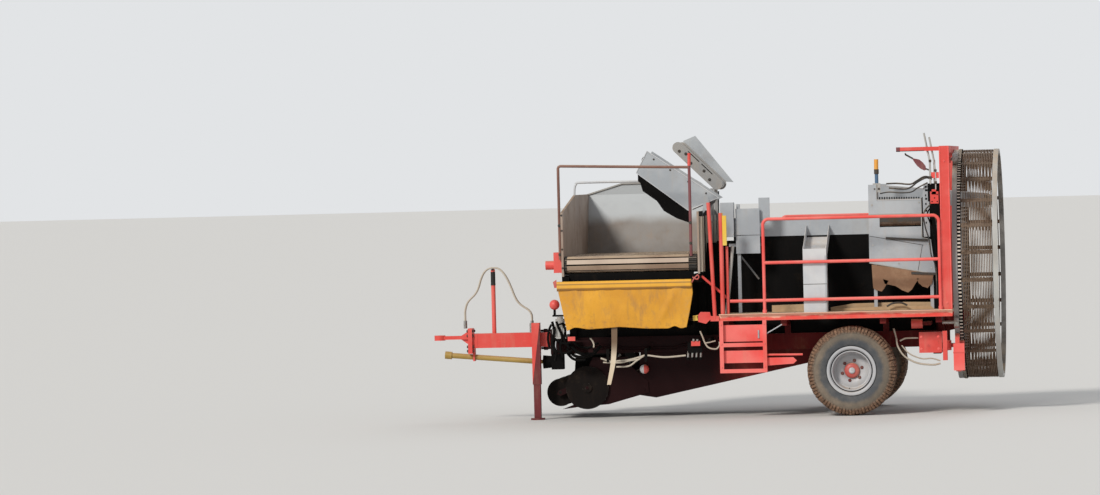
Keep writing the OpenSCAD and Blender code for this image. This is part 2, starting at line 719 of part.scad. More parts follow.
module bunker_rails() color("saddlebrown") {
    y = -floor_y + 85;
    x0 = bunker_front_x - 18;
    x1 = bunker_rear_x - wall_t - 80;
    tube_xz([[x0, 1900], [x0, 3000], [x1, 2945], [x1, 1990]], y, 60, 35);
    // White rail on the end walls
    tube_xz([[bunker_front_x + 12, bunker_high_z], [bunker_front_x + 12, 2790], [bunker_rear_x + 18, 2790],
        [bunker_rear_x + 18, 2300]], -45, 90, 30);
}

module canvas() color("goldenrod") {
    plate_xz([[canvas_x0, canvas_z + 12], [canvas_x1, canvas_z + 12],
        [canvas_x1 - 125, canvas_z - canvas_h], [canvas_x0 + 125, canvas_z - canvas_h]], canvas_y,
            canvas_t);
}

// Far elevator: plates, guard and belt, rising towards the front
module elevator_far() color("lightgray") {
    a = upper_angle;
    translate([upper_foot[0], 0, upper_foot[1]]) rotate([0, a, 0]) mirror([1, 0, 0]) {
        for (y = [upper_y, upper_y + upper_w - 10])
            translate([0, y + 10, 0]) rotate([90, 0, 0]) linear_extrude(10)
                translate([0, -68]) loop_outline(upper_len, 136);
        translate([0, upper_y + upper_w - 14, 0]) rotate([90, 0, 0])
            linear_extrude(upper_w - 28) translate([0, -50]) loop_outline(upper_len, 100);
        for (x = [0, upper_len])
            shaft_y(x, 0, upper_y + 9, upper_y + upper_w - 9, 50);
    }
    // Raised guard
    plate_xz([[-478, 3270], [-326, 3330], [126, 2757], [-47, 2772]], upper_y + upper_w, 6);
    // Brackets on the bunker's rear wall
    for (y = [upper_y + 2, upper_y + upper_w - 32])
        box([bunker_rear_x, y, 2300], [bunker_rear_x + 40, y + 30, 2690]);
}

module pto_gearbox() color("dimgray") {
    box([rail_front_x - 20, drawbar_y - 85, pto_z - 90], [rail_front_x + 120, drawbar_y + 85, rail_z]);
    // Guard cone round the joint, open to the front
    difference() {
        translate([pto_cone_x, drawbar_y, pto_z]) rotate([0, 90,
            0]) cylinder(h = rail_front_x - 20 - pto_cone_x, d1 = pto_cone_d, d2 = pto_cone_d - 20);
        translate([pto_cone_x - 1, drawbar_y, pto_z]) rotate([0, 90,
            0]) cylinder(h = rail_front_x - 24 - pto_cone_x, d1 = pto_cone_d - 8, d2 = pto_cone_d - 28);
    }
    shaft_x(drawbar_y, pto_z, rail_front_x - 50, rail_front_x - 19, 40);
}

module accumulator() color("firebrick") {
    p = [-1870, -1150, 1366];
    translate(p) sphere(d = 120);
    rod(p, [p[0], p[1], p[2] - 130], 30);
    box([p[0] - 25, p[1] - 25, p[2] - 140], [bunker_front_x + 40, p[1] + 25, p[2] - 120]);
    box([bunker_front_x, p[1] - 25, p[2] - 130], [bunker_front_x + 40, p[1] + 25, bunker_base_z - 100]);
}

// Oil pipes along the left rail, in clips: height of each pipe
module oil_pipes() {
    y = -rail_track / 2 - rail_w / 2 - 14;
    for (z = [rail_z + 60, rail_z + 90])
        tube_xz([[-1720, z], [-1180, z], [-1100, z - 30], [-480, z - 30], [-400, z], [60, z]], y, 60, 12);
    for (x = [-1500, -780, -150])
        box([x, y, rail_z + 20], [x + 30, -rail_track / 2 - rail_w / 2, rail_z + 110]);
}

// Stack of control valves on the front cross member, beside the drawbar
module valve_stack() {
    z = rail_z + rail_h;
    box([-1930, -1010, z], [-1760, -700, z + 20]);
    for (i = [0 : 4])
        box([-1925 + i * 32, -990, z + 20], [-1925 + i * 32 + 28, -860, z + 130 + 12 * (i % 2)]);
    translate([-1850, -800, z + 20]) cylinder(h = 210, d = 110);
    translate([-1850, -800, z + 229]) cylinder(h = 25, d = 70);
}

// Rubber flaps under the separator's panels
module panel_flaps() {
    for (s = [-1, 1])
        plate_xz([[1880, 1755], [1890, 1500], [1990, 1440], [2060, 1560], [2200, 1490], [2300, 1420],
            [2420, 1560],
            [2530, 1470], [2600, 1610], [2600, 1640]], s > 0 ? sep_y + 10 + eps : -sep_y - 16 - eps, 6);
}

// Belt that hangs from the curtain's bar
module strap() color("tan") {
    top = canvas_z - canvas_bar_d / 2 - eps;
    plate_xz([[-1130, top], [-1060, top], [-1175, 420], [-1235, 420]],
        canvas_y + canvas_t + eps + canvas_bar_d / 2 - 3, 6);
}

module filler_case() color("lightgray") {
    for (y = [filler_y, filler_y + filler_w - 8])
        plate_xz([filler_at(filler_len + 56, 97), filler_at(-107, 99), filler_at(112, -222),
            filler_at(filler_len + 23, -186)], y, 8);
    // Shafts across, and the hinge ears at the foot
    rod([filler_pivot[0], filler_y - 16, filler_pivot[1]], [filler_pivot[0], filler_y + filler_w + 16,
        filler_pivot[1]], 50);
    rod([filler_head[0], filler_y + 1, filler_head[1]], [filler_head[0], filler_y + filler_w - 1,
        filler_head[1]], 50);
    for (p = [filler_pivot, filler_head])
        shaft_y(p[0], p[1], filler_y + 25, filler_y + filler_w - 25, filler_loop - 28 - 2 * eps);
}

module filler_belt() color("dimgray") {
    v = filler_pivot - filler_head;
    belt(filler_head, norm(v), filler_loop, atan2(v[1], v[0]), filler_y + filler_w / 2, filler_w - 40, 14);
}

module filler_flap() color("black") {
    plate_xz([filler_at(filler_len + 16, -167), filler_at(127, -201), filler_at(33, -338),
        filler_at(filler_len - 47, -259)],
        filler_y + 8 + eps, 6);
}

module drawbar() color("firebrick") {
    y0 = drawbar_y - drawbar_w / 2;
    y1 = drawbar_y + drawbar_w / 2;
    z0 = drawbar_z - drawbar_h / 2;
    difference() {
        union() {
            box([flange_x, y0, z0], [swing_x, y1, z0 + drawbar_h]);
            translate([swing_x, drawbar_y, z0]) cylinder(h = drawbar_h, d = drawbar_w);
            box([flange_x, drawbar_y - 110, drawbar_z - 150], [flange_x + flange_t, drawbar_y + 110,
                drawbar_z + 150]);
            // Ears for the steering cylinder
            for (z = [drawbar_z - 45, drawbar_z + 25]) {
                box([steer_end[0] - 30, y1 - 1, z], [steer_end[0] + 30, steer_end[1], z + 20]);
                translate([steer_end[0], steer_end[1], z]) cylinder(h = 20, d = 60);
            }
        }
        translate([swing_x, drawbar_y, z0 - 1]) cylinder(h = drawbar_h + 2, d = swing_pin_d + 0.1);
    }
    translate([steer_end[0], steer_end[1], drawbar_z - 50]) cylinder(h = 100, d = open_pin_d);
    // Hook that carries the parked shaft
    hook_x = flange_x + flange_t;
    difference() {
        box([hook_x, drawbar_y - 60, hook_z - 50], [hook_x + hook_t, drawbar_y + 60, z0 + 1]);
        rod(pto_rear, pto_front, pto_d + 1);
    }
}

// Bolted flange with a forged tongue that ends in the eye
module towing_eye() color("firebrick") {
    tip = swing_x - drawbar_len;
    ring_x = tip + eye_ring_d / 2;
    difference() {
        union() {
            box([flange_x - flange_t, drawbar_y - 110, drawbar_z - 150], [flange_x, drawbar_y + 110,
                drawbar_z + 150]);
            box([ring_x, drawbar_y - 40, eye_z - 21], [flange_x - flange_t + 1, drawbar_y + 40,
                eye_z + 21]);
            // Root of the tongue, a wedge above and below it
            plate_xz([[flange_x - flange_t + 1, eye_z - 90], [flange_x - flange_t + 1, eye_z + 80],
                [flange_x - 120, eye_z + 20],
                [flange_x - 120, eye_z - 20]], drawbar_y - 12, 24);
            translate([ring_x, drawbar_y, eye_z - 30]) cylinder(h = 60, d = eye_ring_d);
        }
        translate([ring_x, drawbar_y, eye_z - 100]) cylinder(h = 200, d = eye_bore_d);
    }
}

module hose_post() color("firebrick") {
    z = drawbar_z + drawbar_h / 2;
    rod([post_x, drawbar_y, z], [post_x, drawbar_y, z + post_h], 50);
    rod([post_x, drawbar_y - 70, z + post_h - 4], [post_x, drawbar_y + 70, z + post_h - 4], 22);
}

module valve_block() color("silver") {
    z = drawbar_z + drawbar_h / 2;
    box([-2215, drawbar_y - 60, z], [-2100, drawbar_y + 60, z + 110]);
    for (y = [-30, 30])
        rod([-2190, drawbar_y + y, z + 108], [-2190, drawbar_y + y, z + 140], 30);
}

module jack_sleeve() color("firebrick") {
    in = jack_w / 2 - jack_wall;
    difference() {
        box([jack_x - jack_w / 2, jack_y - jack_w / 2, jack_low_z], [jack_x + jack_w / 2,
            jack_y + jack_w / 2, 1150]);
        box([jack_x - in, jack_y - in, jack_low_z - 1], [jack_x + in, jack_y + in, 1100]);
    }
    box([jack_x - 42, jack_y + jack_w / 2 - 1, drawbar_z - 60], [jack_x + 42, drawbar_y - drawbar_w / 2,
        drawbar_z + 60]);
}

module jack_leg() color("silver") {
    half = jack_w / 2 - jack_wall - 0.5;
    box([jack_x - half, jack_y - half, 8], [jack_x + half, jack_y + half, jack_low_z + 300]);
    translate([jack_x, jack_y, 0]) cylinder(h = 20, d = 170);
}

module hose_couplers() color("black") {
    for (p = hose_park)
        rod([p[0], p[1], drawbar_z + 150], [p[0], p[1], p[2]], 34);
}

// A round cord swept along its route, with sides flat sides
module cord_tube(route, d, sides) {
    n = len(route);
    tangents = [for (i = [0 : n - 1]) route[min(i + 1, n - 1)] - route[max(i - 1, 0)]];
    rings = [for (i = [0 : n - 1])
        let (t = tangents[i] / norm(tangents[i]), u = cross(t, [0, 1, 0]) / norm(cross(t, [0, 1, 0])),
            v = cross(t, u))
            [for (k = [0 : sides - 1])
                route[i] + d / 2 * (cos(360 * k / sides) * u + sin(360 * k / sides) * v)]];
    points = [for (ring = rings) each ring];
    sides_faces = [for (i = [0 : n - 2]) for (k = [0 : sides - 1])
        let (a = i * sides + k, b = i * sides + (k + 1) % sides) [a, b, b + sides, a + sides]];
    polyhedron(points, concat([[for (k = [sides - 1 : -1 : 0]) k]], sides_faces,
        [[for (k = [0 : sides - 1]) (n - 1) * sides + k]]));
}

module hose_a() color("silver") cord_tube(smooth_route(hose_route(-30)), hose_d, 8);
module hose_b() color("silver") cord_tube(smooth_route(hose_route(30)), hose_d, 8);

// Steering cylinder, drawn along X from its base pin and turned into place
module steer_place() {
    translate([steer_base[0], steer_base[1], drawbar_z]) rotate([0, 0, atan2(steer_v[1],
        steer_v[0])]) children();
}

module steer_barrel() color("firebrick") {
    steer_place() difference() {
        union() {
            translate([0, 0, -22]) cylinder(h = 44, d = 58);
            shaft_x(0, 0, 20, 40, 40);
            shaft_x(0, 0, 36, 410, 70);
        }
        translate([0, 0, -23]) cylinder(h = 46, d = small_pin_d + 0.1);
        shaft_x(0, 0, 70, 411, 50);
    }
}

module steer_rod() color("silver") {
    l = norm(steer_v);
    steer_place() {
        shaft_x(0, 0, l - 385, l - 360, 49.9);
        shaft_x(0, 0, l - 361, l - open_bore_d / 2 - 4, 32);
        translate([l, 0, 0]) difference() {
            translate([0, 0, -22]) cylinder(h = 44, d = open_eye_d);
            translate([0, 0, -23]) cylinder(h = 46, d = open_bore_d);
        }
    }
}

module pto_shaft() color("goldenrod") {
    u = (pto_front - pto_rear) / norm(pto_front - pto_rear);
    rod(pto_rear, pto_front, 45);
    rod(pto_rear + u * 75, pto_front - u * 60, pto_d);
    rod(pto_front - u * 80, pto_front, 90);
}

module digger_frame() color("firebrick") {
    for (s = [-1, 1]) {
        y = s > 0 ? arm_y : -arm_y - arm_t;
        difference() {
            union() {
                plate_xz([[-1760, 200], [-1700, 130], [-1300, 160], [-820, 290], [-830, 420], [-1060,
                    640], [-1060, 720],
                    [-1480, 720], [-1640, 420]], y, arm_t);
                // Arm of the ridge roller
                plate_xz([[-1700, 340], [-1620, 430], [-1900, 335], [-1920, 290], [-1880, 270]], y, arm_t);
            }
            shaft_y(web_front[0], web_front[1], y - 1, y + arm_t + 1, small_pin_d + 0.1);
            shaft_y(roller_p[0], roller_p[1], y - 1, y + arm_t + 1, 40.1);
        }
        // Stub axle of the coulter
        shaft_y(coulter_p[0], coulter_p[1], s > 0 ? arm_y + 10 : -coulter_y - 30,
            s > 0 ? coulter_y + 30 : -arm_y - 10, 40);
    }
    // Cross tube, rollers' shafts and the share
    rod([-1180, -arm_y - 2, 600], [-1180, arm_y + 2, 600], 80);
    for (p = [intake_front, intake_rear]) {
        shaft_y(p[0], p[1], -arm_y - 2, arm_y + 2, 40);
        web_rollers(p, intake_gap);
    }
    plate_xz([[-1860, 110], [-1700, 128], [-1690, 142], [-1740, 150]], -arm_y - 2, 2 * arm_y + 4);
    // Ears and pins for the lifting cylinders
    for (s = [-1, 1]) {
        for (e = [-29, 17])
            plate_xz([[-1180, 600], [-1180, 660], [-1262, 668], [-1262, 622]], s * lift_y + e, 12);
        shaft_y(lift_end[0], lift_end[1], s * lift_y - 32, s * lift_y + 32, open_pin_d);
    }
}

module intake_web() color("sienna") {
    d = intake_rear - intake_front;
    rod_web(intake_front, norm(d), intake_gap, atan2(d[1], d[0]), web_pitch);
}

module coulter(s) color("dimgray") {
    y = s * coulter_y;
    difference() {
        union() {
            shaft_y(coulter_p[0], coulter_p[1], y - 5, y + 5, coulter_d);
            shaft_y(coulter_p[0], coulter_p[1], y - 25, y + 25, 110);
        }
        shaft_y(coulter_p[0], coulter_p[1], y - 31, y + 31, 40.1);
    }
}

module coulter_left() coulter(-1);
module coulter_right() coulter(1);

module ridge_roller() color("dimgray") {
    // Two waisted rollers on one shaft
    half = arm_y / 2 - 48;
    for (s = [-1, 1])
        translate([roller_p[0], s * (arm_y / 2 - 8), roller_p[1]]) rotate([90, 0, 0])
            rotate_extrude() polygon([[20, -half], [165, -half], [165, 20 - half], [100, -60], [100, 60],
                [165, half - 20],
                [165, half], [20, half]]);
    shaft_y(roller_p[0], roller_p[1], -arm_y - 12, arm_y + 12, 40);
}

module lift_place() {
    translate([lift_base[0], 0, lift_base[1]]) rotate([0, -atan2(lift_v[1], lift_v[0]), 0]) children();
}

module lift_barrels() color("firebrick") {
    lift_place() for (s = [-1, 1]) translate([0, s * lift_y, 0]) difference() {
        union() {
            translate([0, 16, 0]) rotate([90, 0, 0]) cylinder(h = 32, d = 50);
            shaft_x(0, 0, 15, 45, 30);
            shaft_x(0, 0, 36, 190, 60);
        }
        translate([0, 17, 0]) rotate([90, 0, 0]) cylinder(h = 34, d = open_pin_d + 0.1);
        shaft_x(0, 0, 50, 191, 46);
    }
}

module lift_rods() color("silver") {
    l = norm(lift_v);
    lift_place() for (s = [-1, 1]) translate([0, s * lift_y, 0]) {
        shaft_x(0, 0, l - 178, l - 158, 45.9);
        shaft_x(0, 0, l - 159, l - 20, 28);
        translate([l, 0, 0]) difference() {
            translate([0, 16, 0]) rotate([90, 0, 0]) cylinder(h = 32, d = 56);
            translate([0, 17, 0]) rotate([90, 0, 0]) cylinder(h = 34, d = 34);
        }
    }
}

// Half section of the tyre: radius and distance from its middle
module tyre(s) color("dimgray") {
    r = tyre_d / 2;
    w = tyre_w / 2;
    b = rim_d / 2;
    translate([axle_x, s * track / 2, r]) rotate([90, 0, 0]) rotate_extrude() difference() {
        polygon([[b, -w + 25], [b + 60, -w], [r - 60, -w + 8], [r - 12, -w + 30], [r, -w + 70],
            [r, w - 70], [r - 12, w - 30], [r - 60, w - 8], [b + 60, w], [b, w - 25]]);
        polygon([[b - 1, -w + 45], [b + 60, -w + 28], [r - 50, -w + 40], [r - 40, w - 40], [b + 60,
            w - 28], [b - 1, w - 45]]);
    }
}

// Dished wheel with its hub, turned from a half section: radius and distance outwards from the tyre's middle
module rim(s) color("white") {
    w = tyre_w / 2;
    b = rim_d / 2;
    hub_r = 85;
    translate([axle_x, s * track / 2, tyre_d / 2]) rotate([-s * 90, 0, 0]) rotate_extrude()
        polygon([[b + 4, w - 10], [b + 4, w - 22], [b - eps, w - 22], [b - eps, 22 - w], [b + 4, 22 - w],
            [b + 4, 10 - w],
            [b - 10, 10 - w], [b - 10, 6], [210, 6], [190, 24], [hub_r, 24], [hub_r, -60],
                [spindle_d / 2 + 0.05, -60],
            [spindle_d / 2 + 0.05, 45], [0, 45], [0, 88], [30, 88], [35, 75], [60, 75], [hub_r, 60],
                [hub_r, 36],
            [190, 36], [214, 18], [b - 10, 18], [b - 10, w - 10]]);
}

module tyre_left() tyre(-1);
module tyre_right() tyre(1);
module rim_left() rim(-1);
module rim_right() rim(1);

// Ring elevator: two rims, hoop rods, cross bars with finger combs, and the drive chain round the front rim
module ring_cage() color("tan") {
    in_r = ring_r - rim_t;
    hoop_r = ring_r - 6;
    span = ring_w - 2 * rim_w - chain_w;
    translate([ring_front_x, 0, ring_z]) rotate([0, 90, 0]) {
        ring_tube(ring_r, in_r, 0, rim_w);
        ring_tube(in_r + chain_seat, in_r, rim_w - 1, rim_w + chain_w);
        ring_tube(ring_r, in_r, ring_w - rim_w, ring_w);
        for (i = [1 : ring_hoops])
            ring_tube(hoop_r, hoop_r - hoop_d, rim_w + chain_w + i * span / (ring_hoops + 1) - hoop_d / 2,
                rim_w + chain_w + i * span / (ring_hoops + 1) + hoop_d / 2);
        for (i = [0 : ring_bars - 1])
            rotate([0, 0, ring_turn + i * 360 / ring_bars]) paddle(hoop_r - hoop_d / 2);
    }
}

// Roller chain laid round the ring next to its front rim: a band with one round lump for each roller
module ring_chain() color("silver") {
    links = round(2 * PI * ring_r / chain_pitch);
    inner = ring_r - rim_t + chain_seat + eps;
    lump = [for (i = [0 : links - 1]) for (k = [[-0.32, 0], [-0.22, 1], [0.22, 1], [0.32, 0]])
        let (a = 360 * (i + k[0]) / links, r = ring_r - 5 + 11 * k[1]) [r * cos(a), r * sin(a)]];
    translate([ring_front_x + rim_w + 4, 0, ring_z]) rotate([0, 90, 0])
        linear_extrude(chain_w - 8) difference() {
            polygon(lump);
            circle(r = inner, $fn = 360);
        }
}

module ring_tube(r1, r0, z0, z1) {
    translate([0, 0, z0]) difference() {
        cylinder(h = z1 - z0, r = r1);
        translate([0, 0, -1]) cylinder(h = z1 - z0 + 2, r = r0);
    }
}

// A cross bar with its comb of fingers; r is the bar's outer radius
module paddle(r) {
    z0 = rim_w / 2;
    z1 = ring_w - rim_w / 2;
    bar_h = 26;
    finger_w = 14;
    pitch = (z1 - z0 - 100) / fingers;
    comb = [for (k = [0 : fingers - 1]) let (z = z0 + 50 + (k + 0.5) * pitch)
        each [[r - bar_h, z - finger_w / 2], [r - paddle_h, z - finger_w / 4],
            [r - paddle_h, z + finger_w / 4], [r - bar_h, z + finger_w / 2]]];
    translate([0, 5, 0]) rotate([90, 0, 0]) linear_extrude(10)
        polygon(concat([[r, z0], [r - bar_h, z0]], comb, [[r - bar_h, z1], [r, z1]]));
    // Flat bar behind the comb
    box([r - 8, -paddle_bar_w / 2, z0], [r - 0.5, paddle_bar_w / 2, z1]);
}

main_frame();
front_bracket();
axle_beam();
web_side_plates();
sieving_web();
platform_left();
platform_right();
handrail_left();
handrail_right();
ladder();
front_uprights();
picking_table();
switch_boxes();
stone_chute();
mast();
ring_guide_rollers();
ring_drive();
separator_panels();
finger_web();
infeed_web();
control_valves();
lamp_post();
bunker_walls();
bunker_floor();
bunker_legs();
bunker_drive();
bunker_rails();
canvas();
elevator_far();
pto_gearbox();
accumulator();
filler_case();
filler_belt();
filler_flap();
drawbar();
towing_eye();
hose_post();
valve_block();
jack_sleeve();
hose_couplers();
hose_a();
hose_b();
steer_barrel();
steer_rod();
jack_leg();
pto_shaft();
digger_frame();
intake_web();
coulter_left();
coulter_right();
ridge_roller();
lift_barrels();
lift_rods();
tyre_left();
tyre_right();
rim_left();
rim_right();
ring_cage();
ring_chain();
strap();
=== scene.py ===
"""Looks of a trailed potato harvester: finishes, tyres, canvas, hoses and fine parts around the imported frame."""

from math import cos, exp, hypot, pi, radians, sin
import random

import bmesh
import bpy
from mathutils import Matrix, Vector, noise


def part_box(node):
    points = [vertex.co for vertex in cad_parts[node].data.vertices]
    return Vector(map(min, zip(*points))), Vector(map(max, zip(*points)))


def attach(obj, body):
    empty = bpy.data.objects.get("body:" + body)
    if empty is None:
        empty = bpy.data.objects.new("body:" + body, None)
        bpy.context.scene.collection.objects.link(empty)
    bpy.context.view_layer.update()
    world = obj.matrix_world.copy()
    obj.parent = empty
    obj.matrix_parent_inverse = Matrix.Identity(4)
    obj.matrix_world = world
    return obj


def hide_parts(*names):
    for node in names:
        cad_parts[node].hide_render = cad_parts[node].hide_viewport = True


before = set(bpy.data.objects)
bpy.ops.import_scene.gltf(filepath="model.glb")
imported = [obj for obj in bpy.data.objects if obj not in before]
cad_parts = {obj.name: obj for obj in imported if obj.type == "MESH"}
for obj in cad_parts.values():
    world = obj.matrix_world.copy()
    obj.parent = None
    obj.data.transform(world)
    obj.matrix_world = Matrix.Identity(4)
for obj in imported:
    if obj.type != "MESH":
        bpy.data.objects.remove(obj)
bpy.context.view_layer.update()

# Camera: place in metres, angles in degrees, lens for a 36 mm sensor
CAMERA_PLACE = Vector((5.468, -63.754, 2.895))
CAMERA_YAW = radians(6.718)
CAMERA_PITCH = radians(0.774)
CAMERA_ROLL = radians(1.43)
CAMERA_LENS = 174.83


def place(name, data):
    """A new object in the scene"""
    piece = bpy.data.objects.new(name, data)
    bpy.context.scene.collection.objects.link(piece)
    return piece


def make_camera():
    forward = Vector((-sin(CAMERA_YAW) * cos(CAMERA_PITCH), cos(CAMERA_YAW) * cos(CAMERA_PITCH),
        -sin(CAMERA_PITCH),))
    level = Vector((cos(CAMERA_YAW), sin(CAMERA_YAW), 0))
    upright = level.cross(forward)
    right = level * cos(CAMERA_ROLL) - upright * sin(CAMERA_ROLL)
    up = level * sin(CAMERA_ROLL) + upright * cos(CAMERA_ROLL)
    turn = Matrix((right, up, -forward)).transposed()
    data = bpy.data.cameras.new("camera")
    data.lens = CAMERA_LENS
    data.clip_end = 500
    camera = place("camera", data)
    camera.matrix_world = Matrix.Translation(CAMERA_PLACE) @ turn.to_4x4()
    bpy.context.scene.camera = camera


make_camera()


def rgb(r, g, b):
    """A colour given as 0 to 255, as the renderer's linear values"""
    def linear(c):
        c /= 255
        return c / 12.92 if c <= 0.04045 else ((c + 0.055) / 1.055) ** 2.4
    return (linear(r), linear(g), linear(b), 1)


# Colours
SOIL = rgb(150, 124, 98)
DRY_SOIL = rgb(186, 164, 136)
RUST = rgb(104, 62, 40)
BARE_STEEL = rgb(160, 158, 154)
BLACK = rgb(22, 21, 20)

EDGE_WIDTH = 0.012  # how far wear reaches from a corner


class Finish:
    """A material's nodes. Masks and colours are sockets, numbers or colours."""

    def __init__(self, name, roughness=0.5, metallic=0.0):
        self.material = bpy.data.materials.new(name)
        self.material.use_nodes = True
        self.tree = self.material.node_tree
        self.shader = self.tree.nodes["Principled BSDF"]
        self.shader.inputs["Roughness"].default_value = roughness
        self.shader.inputs["Metallic"].default_value = metallic
        coordinates = self.node("ShaderNodeTexCoord")
        self.place = coordinates.outputs["Object"]
        self.normal = coordinates.outputs["Normal"]
        self.height = None

    def node(self, kind, **inputs):
        node = self.tree.nodes.new(kind)
        for name, value in inputs.items():
            self.put(node.inputs[name.replace("_", " ")], value)
        return node

    def put(self, socket, value):
        if isinstance(value, bpy.types.NodeSocket):
            self.tree.links.new(value, socket)
        else:
            socket.default_value = value

    def math(self, operation, *values):
        node = self.node("ShaderNodeMath")
        node.operation = operation
        for socket, value in zip(node.inputs, values):
            self.put(socket, value)
        return node.outputs[0]

    def stretched(self, scale):
        node = self.node("ShaderNodeVectorMath")
        node.operation = "MULTIPLY"
        self.put(node.inputs[0], self.place)
        node.inputs[1].default_value = scale
        return node.outputs[0]

    def noise(self, scale, detail=4.0, rough=0.6, stretch=(1, 1, 1)):
        node = self.node("ShaderNodeTexNoise", Vector=self.stretched(stretch), Scale=scale, Detail=detail,
            Roughness=rough)
        return node.outputs["Fac"]

    def times(self, first, second):
        return self.math("MULTIPLY", first, second)

    def mask(self, value, low, high):
        node = self.node("ShaderNodeMapRange", Value=value, From_Min=low, From_Max=high)
        node.interpolation_type = "SMOOTHSTEP"
        return node.outputs["Result"]

    def mix(self, share, first, second):
        node = self.node("ShaderNodeMix", Factor=share)
        node.data_type = "RGBA"
        self.put(node.inputs[6], first)
        self.put(node.inputs[7], second)
        return node.outputs[2]

    def axis(self, name, vector=None):
        node = self.node("ShaderNodeSeparateXYZ", Vector=vector or self.place)
        return node.outputs[name]

    def over(self, colour, tone, mask, share):
        """A colour with another tone over it, by a share of the mask"""
        return self.mix(self.times(mask, share), colour, tone)

    def facing_up(self):
        return self.mask(self.axis("Z", self.normal), 0.5, 0.95)

    def edges(self):
        """High where a corner is near"""
        bevel = self.node("ShaderNodeBevel", Radius=EDGE_WIDTH)
        bevel.samples = 4
        plain = self.node("ShaderNodeNewGeometry").outputs["Normal"]
        dot = self.node("ShaderNodeVectorMath")
        dot.operation = "DOT_PRODUCT"
        self.put(dot.inputs[0], bevel.outputs["Normal"])
        self.put(dot.inputs[1], plain)
        return self.mask(dot.outputs["Value"], 0.98, 0.8)

    def bump(self, height, strength, distance):
        node = self.node("ShaderNodeBump", Height=height, Strength=strength, Distance=distance)
        if self.height is not None:
            self.put(node.inputs["Normal"], self.height)
        self.height = node.outputs["Normal"]
        self.put(self.shader.inputs["Normal"], self.height)

    def colour(self, value):
        self.put(self.shader.inputs["Base Color"], value)

    def roughness(self, share, low, high):
        node = self.node("ShaderNodeMapRange", Value=share, To_Min=low, To_Max=high)
        self.put(self.shader.inputs["Roughness"], node.outputs["Result"])


def painted(name, base, faded, dirt, wear, dust=DRY_SOIL, roughness=0.45, shade=None):
    """Sheet or tube with old paint: bleached patches, dust on what faces up, worn edges, rusty chips.
    shade is an axis, the place where another tone starts, the place where it is full, and the tone; in dark_red
    that tone is painted shade"""
    f = Finish(name, roughness)
    large = f.noise(1.6, 5)
    fine = f.noise(38, 6, 0.7)
    colour = f.mix(f.mask(large, 0.35, 0.65), base, faded)
    streaks = f.mask(f.noise(9, 5, 0.7, (1, 1, 0.12)), 0.5, 0.78)
    colour = f.over(colour, dust, streaks, 0.45 * dirt / 0.35)
    patches = f.mask(f.noise(3.5, 8, 0.72), 0.55 - 0.2 * dirt, 0.8)
    colour = f.over(colour, SOIL, patches, dirt)
    settled = f.times(f.facing_up(), f.mask(f.noise(6, 5, 0.7), 0.3, 0.6))
    colour = f.over(colour, dust, settled, min(1.0, 1.6 * dirt + 0.2))
    worn = f.times(f.edges(), f.mask(fine, 0.5, 0.62))
    colour = f.over(colour, BARE_STEEL, worn, wear)
    chips = f.mask(f.math("ADD", fine, f.times(f.noise(5, 4), 0.5)), 0.93, 0.99)
    colour = f.over(colour, RUST, chips, wear)
    if shade:
        axis, start, full, tone = shade
        blurred = f.math("ADD", f.axis(axis), f.times(f.noise(3, 4), 0.12))
        colour = f.mix(f.mask(blurred, start + 0.06, full + 0.06), colour, tone)
    f.colour(colour)
    f.roughness(f.math("MAXIMUM", settled, patches), roughness, 0.9)
    f.bump(fine, 0.12, 0.002)
    return f.material


def bare_metal(name, base, grime, amount, roughness, metallic):
    """Worn steel with a film of soil in patches"""
    f = Finish(name, roughness, metallic)
    patches = f.mask(f.noise(7, 8, 0.75), 0.62 - 0.35 * amount, 0.78 - 0.2 * amount)
    fine = f.noise(60, 5, 0.7)
    colour = f.mix(patches, base, grime)
    colour = f.mix(f.mask(fine, 0.45, 0.75), colour, f.mix(0.5, grime, BLACK))
    f.colour(colour)
    f.roughness(patches, roughness, 0.92)
    f.bump(fine, 0.25, 0.003)
    return f.material


def rubber(name, base, dust=DRY_SOIL, amount=0.35):
    """Rubber that has gone grey, with dust in its low spots"""
    f = Finish(name, 0.75)
    patches = f.mask(f.noise(5, 7, 0.7), 0.45, 0.75)
    colour = f.over(base, dust, patches, amount)
    colour = f.over(colour, dust, f.facing_up(), amount)
    f.colour(colour)
    f.bump(f.noise(90, 4), 0.2, 0.002)
    return f.material


def tyre_finish(name):
    """Grey sidewall, and tread packed with dry soil: the distance from the wheel's axis parts them"""
    f = Finish(name, 0.85)
    wheel = frame_centre("rim_left")
    x = f.math("SUBTRACT", f.axis("X"), wheel.x)
    z = f.math("SUBTRACT", f.axis("Z"), wheel.z)
    radius = f.math("SQRT", f.math("ADD", f.times(x, x), f.times(z, z)))
    wobble = f.math("ADD", radius, f.times(f.noise(9, 6, 0.7), 0.06))
    film = f.mask(f.noise(4.5, 8, 0.7), 0.35, 0.7)
    inner = f.mix(f.times(film, 0.6), rgb(72, 75, 79), rgb(112, 109, 105))
    outer = f.mix(f.times(film, 0.7), rgb(104, 95, 84), rgb(140, 125, 108))
    side = f.mix(f.mask(wobble, 0.375, 0.43), inner, outer)
    specks = f.mask(f.noise(34, 7, 0.85), 0.38, 0.6)
    ground_in = f.mix(specks, rgb(58, 42, 34), rgb(140, 108, 84))
    f.colour(f.mix(f.mask(wobble, 0.46, 0.5), side, ground_in))
    f.bump(f.noise(70, 6, 0.8), 0.5, 0.006)
    return f.material


# Canvas, as its finish sees it: middle of its width, lower edge of the hem, dark seams, reach of soil splashes
CLOTH_MIDDLE = -0.99
HEM_FOOT = 1.562
SEAMS = ((1.538, 1.558), (1.602, 1.612))
SPLASH_TOP, SPLASH_FULL = 1.35, 1.06


